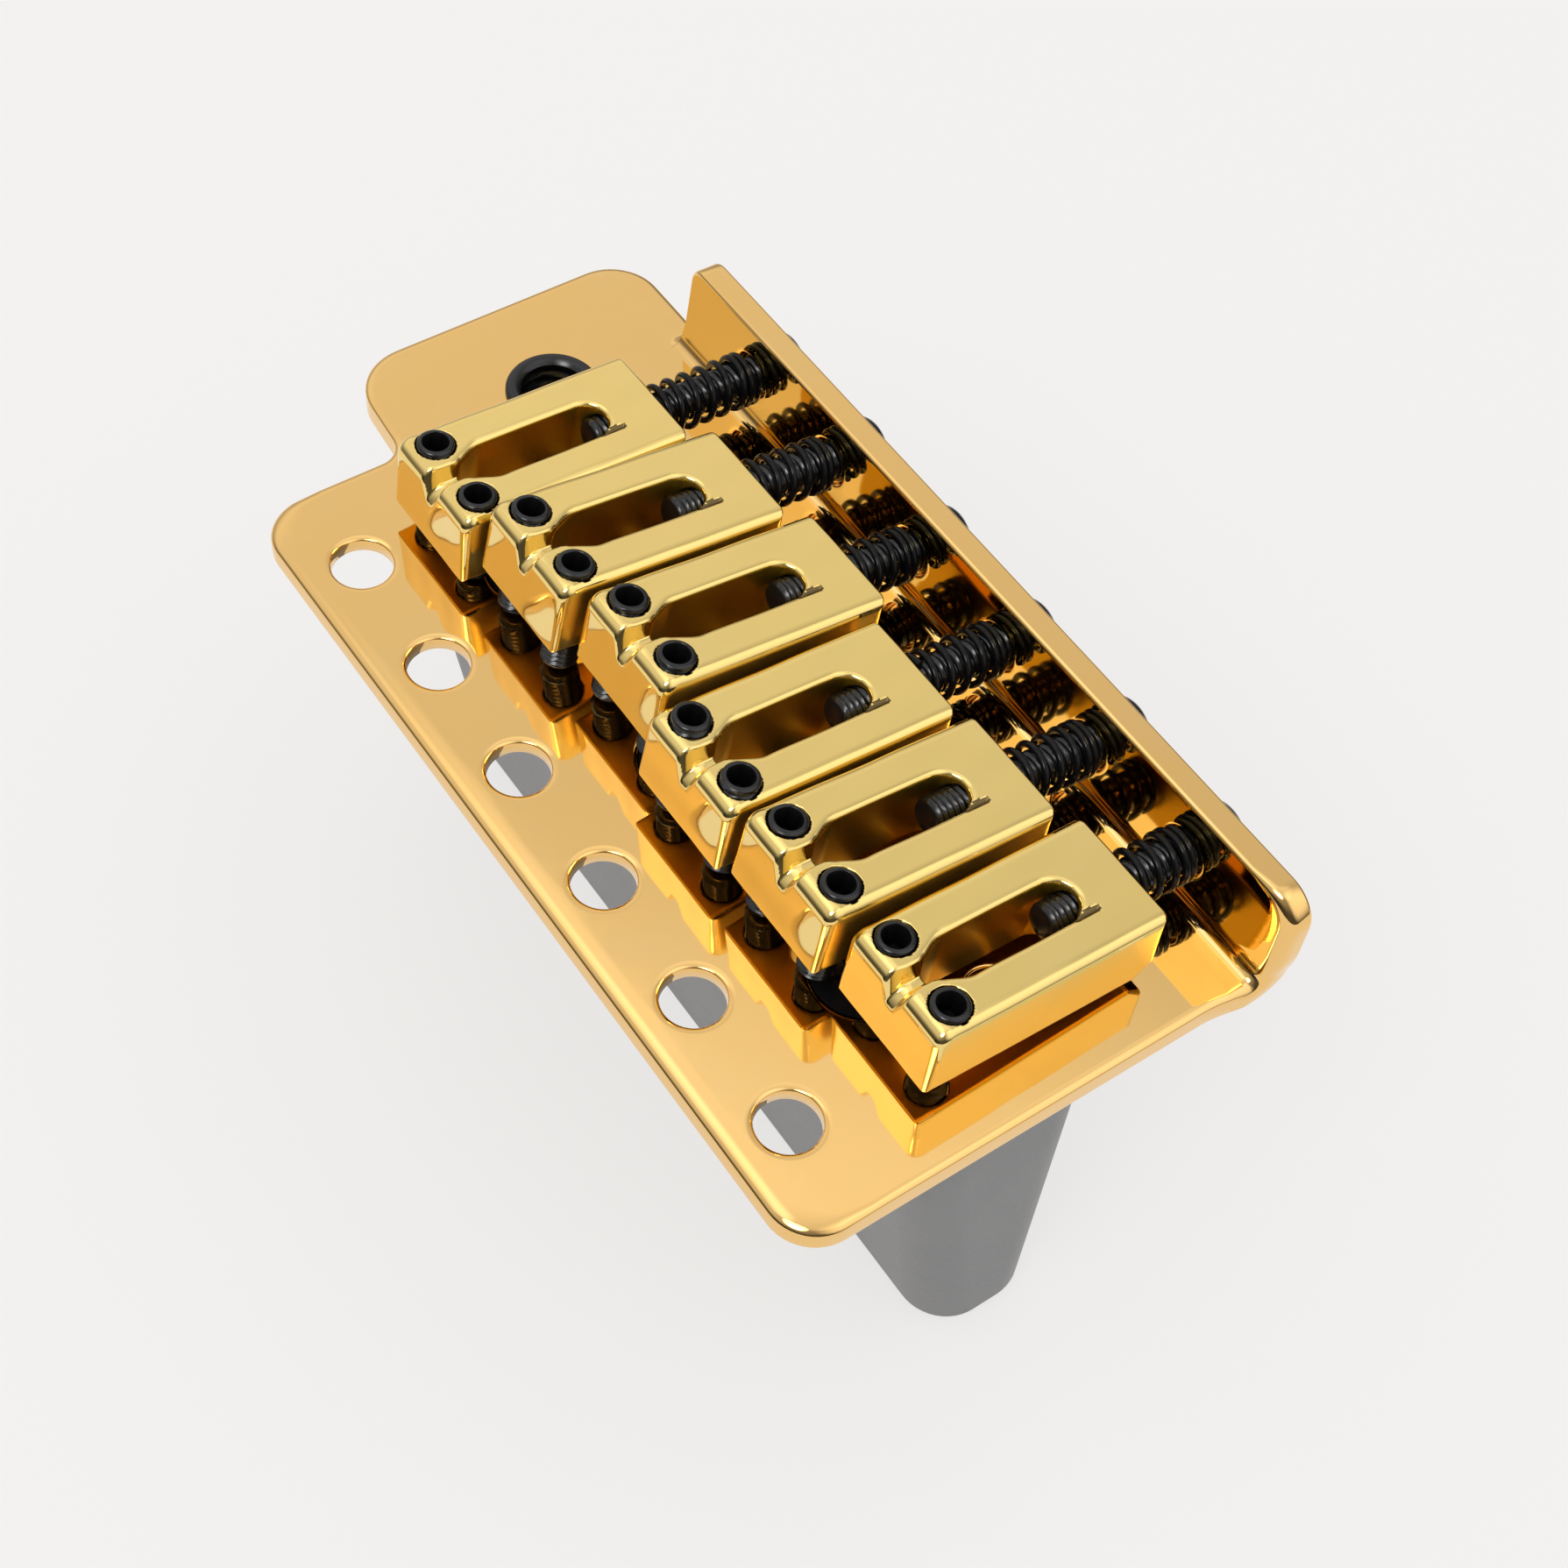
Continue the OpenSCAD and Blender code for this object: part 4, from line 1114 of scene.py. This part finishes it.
def tremoloBlock():
    spec = blockSpec
    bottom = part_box("tremolo_block")[0].z / mm
    top, foot, past = spec["top"], spec["footRadius"], spec["top"] + spec["past"]
    arm, row = plateSpec["armAt"], plateSpec["stringRow"]

    def section(height, inset):
        share = (top - height) / (top - bottom)
        treble, bass = inset - spec["treble"], spec["bass"] - inset
        front, rear = spec["front"] + spec["taper"] * share + inset, spec["rear"] - inset
        radius = spec["edgeRadius"] - inset * spec["edgeShrink"]
        corners = ((treble, front), (bass, front), (bass, rear), (treble, rear))
        flat = roundedOutline([corner + (radius,) for corner in corners], spec["longestSide"])
        return np.column_stack([flat, np.full(len(flat), height)])

    def mouth(rows, radius):
        return [(radius + outwards, bottom + height) for outwards, height in rows]

    maker = SheetMaker()
    rings = [maker.ring(section(top, 0))]
    for angle in quarterTurn(spec["footSteps"]):
        height = bottom + foot * (1 - math.sin(angle))
        rings.append(maker.ring(section(height, foot * (1 - math.cos(angle)))))
    for first, second in zip(rings, rings[1:]):
        maker.wall(second, first)
    maker.mesh.faces.new(rings[0])
    maker.mesh.faces.new(rings[-1][::-1])
    block = maker.piece("castBlock", Matrix.Scale(mm, 4), blockGrey)
    bossRows = [(spec["bossRadius"] - inwards, spec["bossBottom"] + height)
                for inwards, height in spec["bossRows"]]
    bossRows.append((spec["bossRadius"], top - spec["bossUnder"]))
    carve(block, cutterPiece("boss", bossRows, (*arm, 0)), "UNION")
    cutters = []
    for number in saddleNumbers:
        across = hingeAt(number)[0]
        radius, deep = spec["ballRadius"], bottom + spec["ballDeep"]
        rows = mouth(spec["ballRows"], radius) + [
            (radius, deep), (spec["stringRadius"], deep + spec["ballCone"]), (spec["stringRadius"], past)]
        cutters.append(cutterPiece("bore", rows, (across, row, 0), spec["stringPoints"]))
        if number + 1 in saddleNumbers:
            radius, deep = spec["hookRadius"], bottom + spec["hookDeep"]
            tip, cone = spec["hookTip"]
            rows = mouth(spec["hookRows"], radius) + [(radius, deep), (tip, deep + cone)]
            centre = ((across + hingeAt(number + 1)[0]) / 2, row, 0)
            cutters.append(cutterPiece("hook", rows, centre, spec["hookPoints"]))
    radius = bushSpec["outer"] + spec["bushGap"]
    cutters.append(cutterPiece("armBore", [(radius, spec["bushBottom"]), (radius, past)], (*arm, 0)))
    radius = spec["screwRadius"]
    aside, behind = plateSpec["plateScrewAt"]
    for k in (-1, 0, 1):
        rows = [(radius, spec["screwBottom"]), (radius, past)]
        cutters.append(cutterPiece("screwBore", rows, (k * aside, behind, 0), spec["screwPoints"]))
    carve(block, joinPieces("boreTool", cutters), "DIFFERENCE")
    maker = bmesh.new()
    maker.from_mesh(block.data)
    bmesh.ops.remove_doubles(maker, verts=maker.verts[:], dist=spec["weld"] * mm)
    maker.to_mesh(block.data)
    maker.free()
    block.data.materials.clear()
    block.data.materials.append(blockGrey)
    block.data.shade_smooth()
    evenShade(block, spec["sharpDegrees"])
    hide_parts("tremolo_block")
    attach(block, "plate")


tremoloBlock()
print("block bored")

# The three screws under the saddles keep their solids and take the black finish
frame["nodes"]["plate_screws"].data.materials.clear()
frame["nodes"]["plate_screws"].data.materials.append(screwBlack)


studioSpec = {
    "floorColour": (0.86, 0.855, 0.85, 1), "floorTone": 0.985, "toneScale": 6, "floorRough": 0.8,
    "floorShine": 0.1, "floorShade": 0.35, "floorGlow": (1.0, 0.985, 0.97, 1), "sky": 0.72,
    "floorReach": 0.24, "backdrop": (0.925, 0.91, 0.895, 1),
    "keyPower": 1.5, "keySize": 0.5, "keyAt": (0.2, -0.5, 0.75), "keyWarm": (1, 0.985, 0.96),
    "skyLevel": 0.57, "skyLean": (-0.45, 0, 0), "skyLow": 0.05, "skyEnds": 0.5, "skyRise": (0.08, 0.58),
    "topEdge": (0.8, 0.9), "topLevel": 0.36,
    "banks": {
        "side": ((0.74, 0.36, 0.57), (0.66, 0.97), 0.95),
        "front": ((-0.3, -0.35, 0.88), (0.93, 0.985), 0.55),
        "spot": ((0.24, -0.59, 0.77), (0.982, 0.994), 8),
    },
}


def studioFloor():
    spec = studioSpec
    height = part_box("tremolo_block")[0].z
    reach = spec["floorReach"]
    points = [(x * reach, y * reach, height) for x, y in ((-1, -1), (1, -1), (1, 1), (-1, 1))]
    mesh = bpy.data.meshes.new("studioFloor")
    mesh.from_pydata(points, [], [(0, 1, 2, 3)])
    floor = addObject("studioFloor", mesh)
    material = bpy.data.materials.new("paperFloor")
    material.use_nodes = True
    tree = material.node_tree
    principled = tree.nodes["Principled BSDF"]
    where = addNode(tree, "ShaderNodeTexCoord").outputs["Object"]
    tone = addNode(tree, "ShaderNodeTexNoise", {"Vector": where, "Scale": spec["toneScale"], "Detail": 1})
    pale = spec["floorColour"]
    shade = tuple(spec["floorTone"] * value for value in pale[:3]) + (1,)
    tree.links.new(mixColour(tree, tone.outputs["Fac"], pale, shade), principled.inputs["Base Color"])
    principled.inputs["Roughness"].default_value = spec["floorRough"]
    principled.inputs["Specular IOR Level"].default_value = spec["floorShine"]
    glow = addNode(tree, "ShaderNodeEmission", {"Color": spec["floorGlow"], "Strength": 1.0})
    path = addNode(tree, "ShaderNodeLightPath").outputs
    seen = calc(tree, "MINIMUM", calc(tree, "ADD", path["Is Camera Ray"], path["Is Glossy Ray"]), 1)
    share = calc(tree, "MULTIPLY", seen, 1 - spec["floorShade"])
    blend = addNode(tree, "ShaderNodeMixShader", {0: share, 1: principled.outputs[0], 2: glow.outputs[0]})
    tree.links.new(blend.outputs[0], tree.nodes["Material Output"].inputs["Surface"])
    mesh.materials.append(material)


# A value that rises smoothly from one level to another between two edges
def softStep(tree, value, edges, low, high):
    return addNode(tree, "ShaderNodeMapRange", {
        "Value": value, "From Min": edges[0], "From Max": edges[1], "To Min": low, "To Max": high},
        interpolation_type="SMOOTHSTEP").outputs["Result"]


def dotWith(tree, where, toward):
    facing = addNode(tree, "ShaderNodeVectorMath", {0: where, 1: toward}, operation="DOT_PRODUCT")
    return facing.outputs["Value"]


# The sky as the metal mirrors it, a plain level for dull surfaces and the backdrop for the camera
def studioWorld():
    spec = studioSpec
    world = bpy.data.worlds.new("studio")
    bpy.context.scene.world = world
    world.use_nodes = True
    tree = world.node_tree
    tree.nodes.clear()
    where = addNode(tree, "ShaderNodeTexCoord").outputs["Generated"]
    x, _, z = addNode(tree, "ShaderNodeSeparateXYZ", {0: where}).outputs
    over = softStep(tree, z, spec["topEdge"], 0, spec["topLevel"])
    leaning = calc(tree, "ADD", dotWith(tree, where, spec["skyLean"]), spec["skyLevel"])
    ends = calc(tree, "MULTIPLY", calc(tree, "MULTIPLY", x, x), spec["skyEnds"])
    low = softStep(tree, z, spec["skyRise"], calc(tree, "ADD", ends, spec["skyLow"]), 1)
    level = calc(tree, "MULTIPLY", calc(tree, "ADD", leaning, over), low)
    for toward, edges, strength in spec["banks"].values():
        bank = softStep(tree, dotWith(tree, where, toward), edges, 0, strength)
        level = calc(tree, "ADD", level, bank)
    path = addNode(tree, "ShaderNodeLightPath").outputs
    seen, glossy = path["Is Camera Ray"], path["Is Glossy Ray"]
    plain = mixColour(tree, seen, (1, 1, 1, 1), spec["backdrop"])
    dull = calc(tree, "MULTIPLY", calc(tree, "SUBTRACT", 1, calc(tree, "MAXIMUM", glossy, seen)), spec["sky"])
    lit = calc(tree, "ADD", calc(tree, "MULTIPLY", level, glossy), dull)
    light = addNode(tree, "ShaderNodeBackground", {"Color": plain, "Strength": calc(tree, "ADD", lit, seen)})
    out = tree.nodes.new("ShaderNodeOutputWorld")
    tree.links.new(light.outputs[0], out.inputs["Surface"])


def keyLight():
    lamp = bpy.data.lights.new("softKey", "AREA")
    lamp.shape = "DISK"
    lamp.size = studioSpec["keySize"]
    lamp.energy = studioSpec["keyPower"]
    lamp.color = studioSpec["keyWarm"]
    holder = addObject("softKey", lamp)
    holder.location = studioSpec["keyAt"]
    holder.rotation_euler = (-holder.location).to_track_quat("-Z", "Y").to_euler()


cameraSpec = {
    "place": (0.08998, -0.05792, 0.15068), "right": (0.56893, 0.81861, 0.07865),
    "sight": (-0.45059, 0.39030, -0.80289), "lens": 60.38, "sensor": 36, "clipStart": 0.005,
}


def photoCamera():
    camera = bpy.data.cameras.new("photoCamera")
    camera.lens = cameraSpec["lens"]
    camera.sensor_width = cameraSpec["sensor"]
    camera.clip_start = cameraSpec["clipStart"]
    holder = addObject("photoCamera", camera)
    right = Vector(cameraSpec["right"]).normalized()
    sight = Vector(cameraSpec["sight"]).normalized()
    up = right.cross(sight).normalized()
    turn = Matrix((right, up, -sight)).transposed().to_4x4()
    holder.matrix_world = Matrix.Translation(cameraSpec["place"]) @ turn
    bpy.context.scene.camera = holder


studioFloor()
studioWorld()
keyLight()
photoCamera()
bpy.context.scene.view_settings.view_transform = "Standard"
print("studio set")
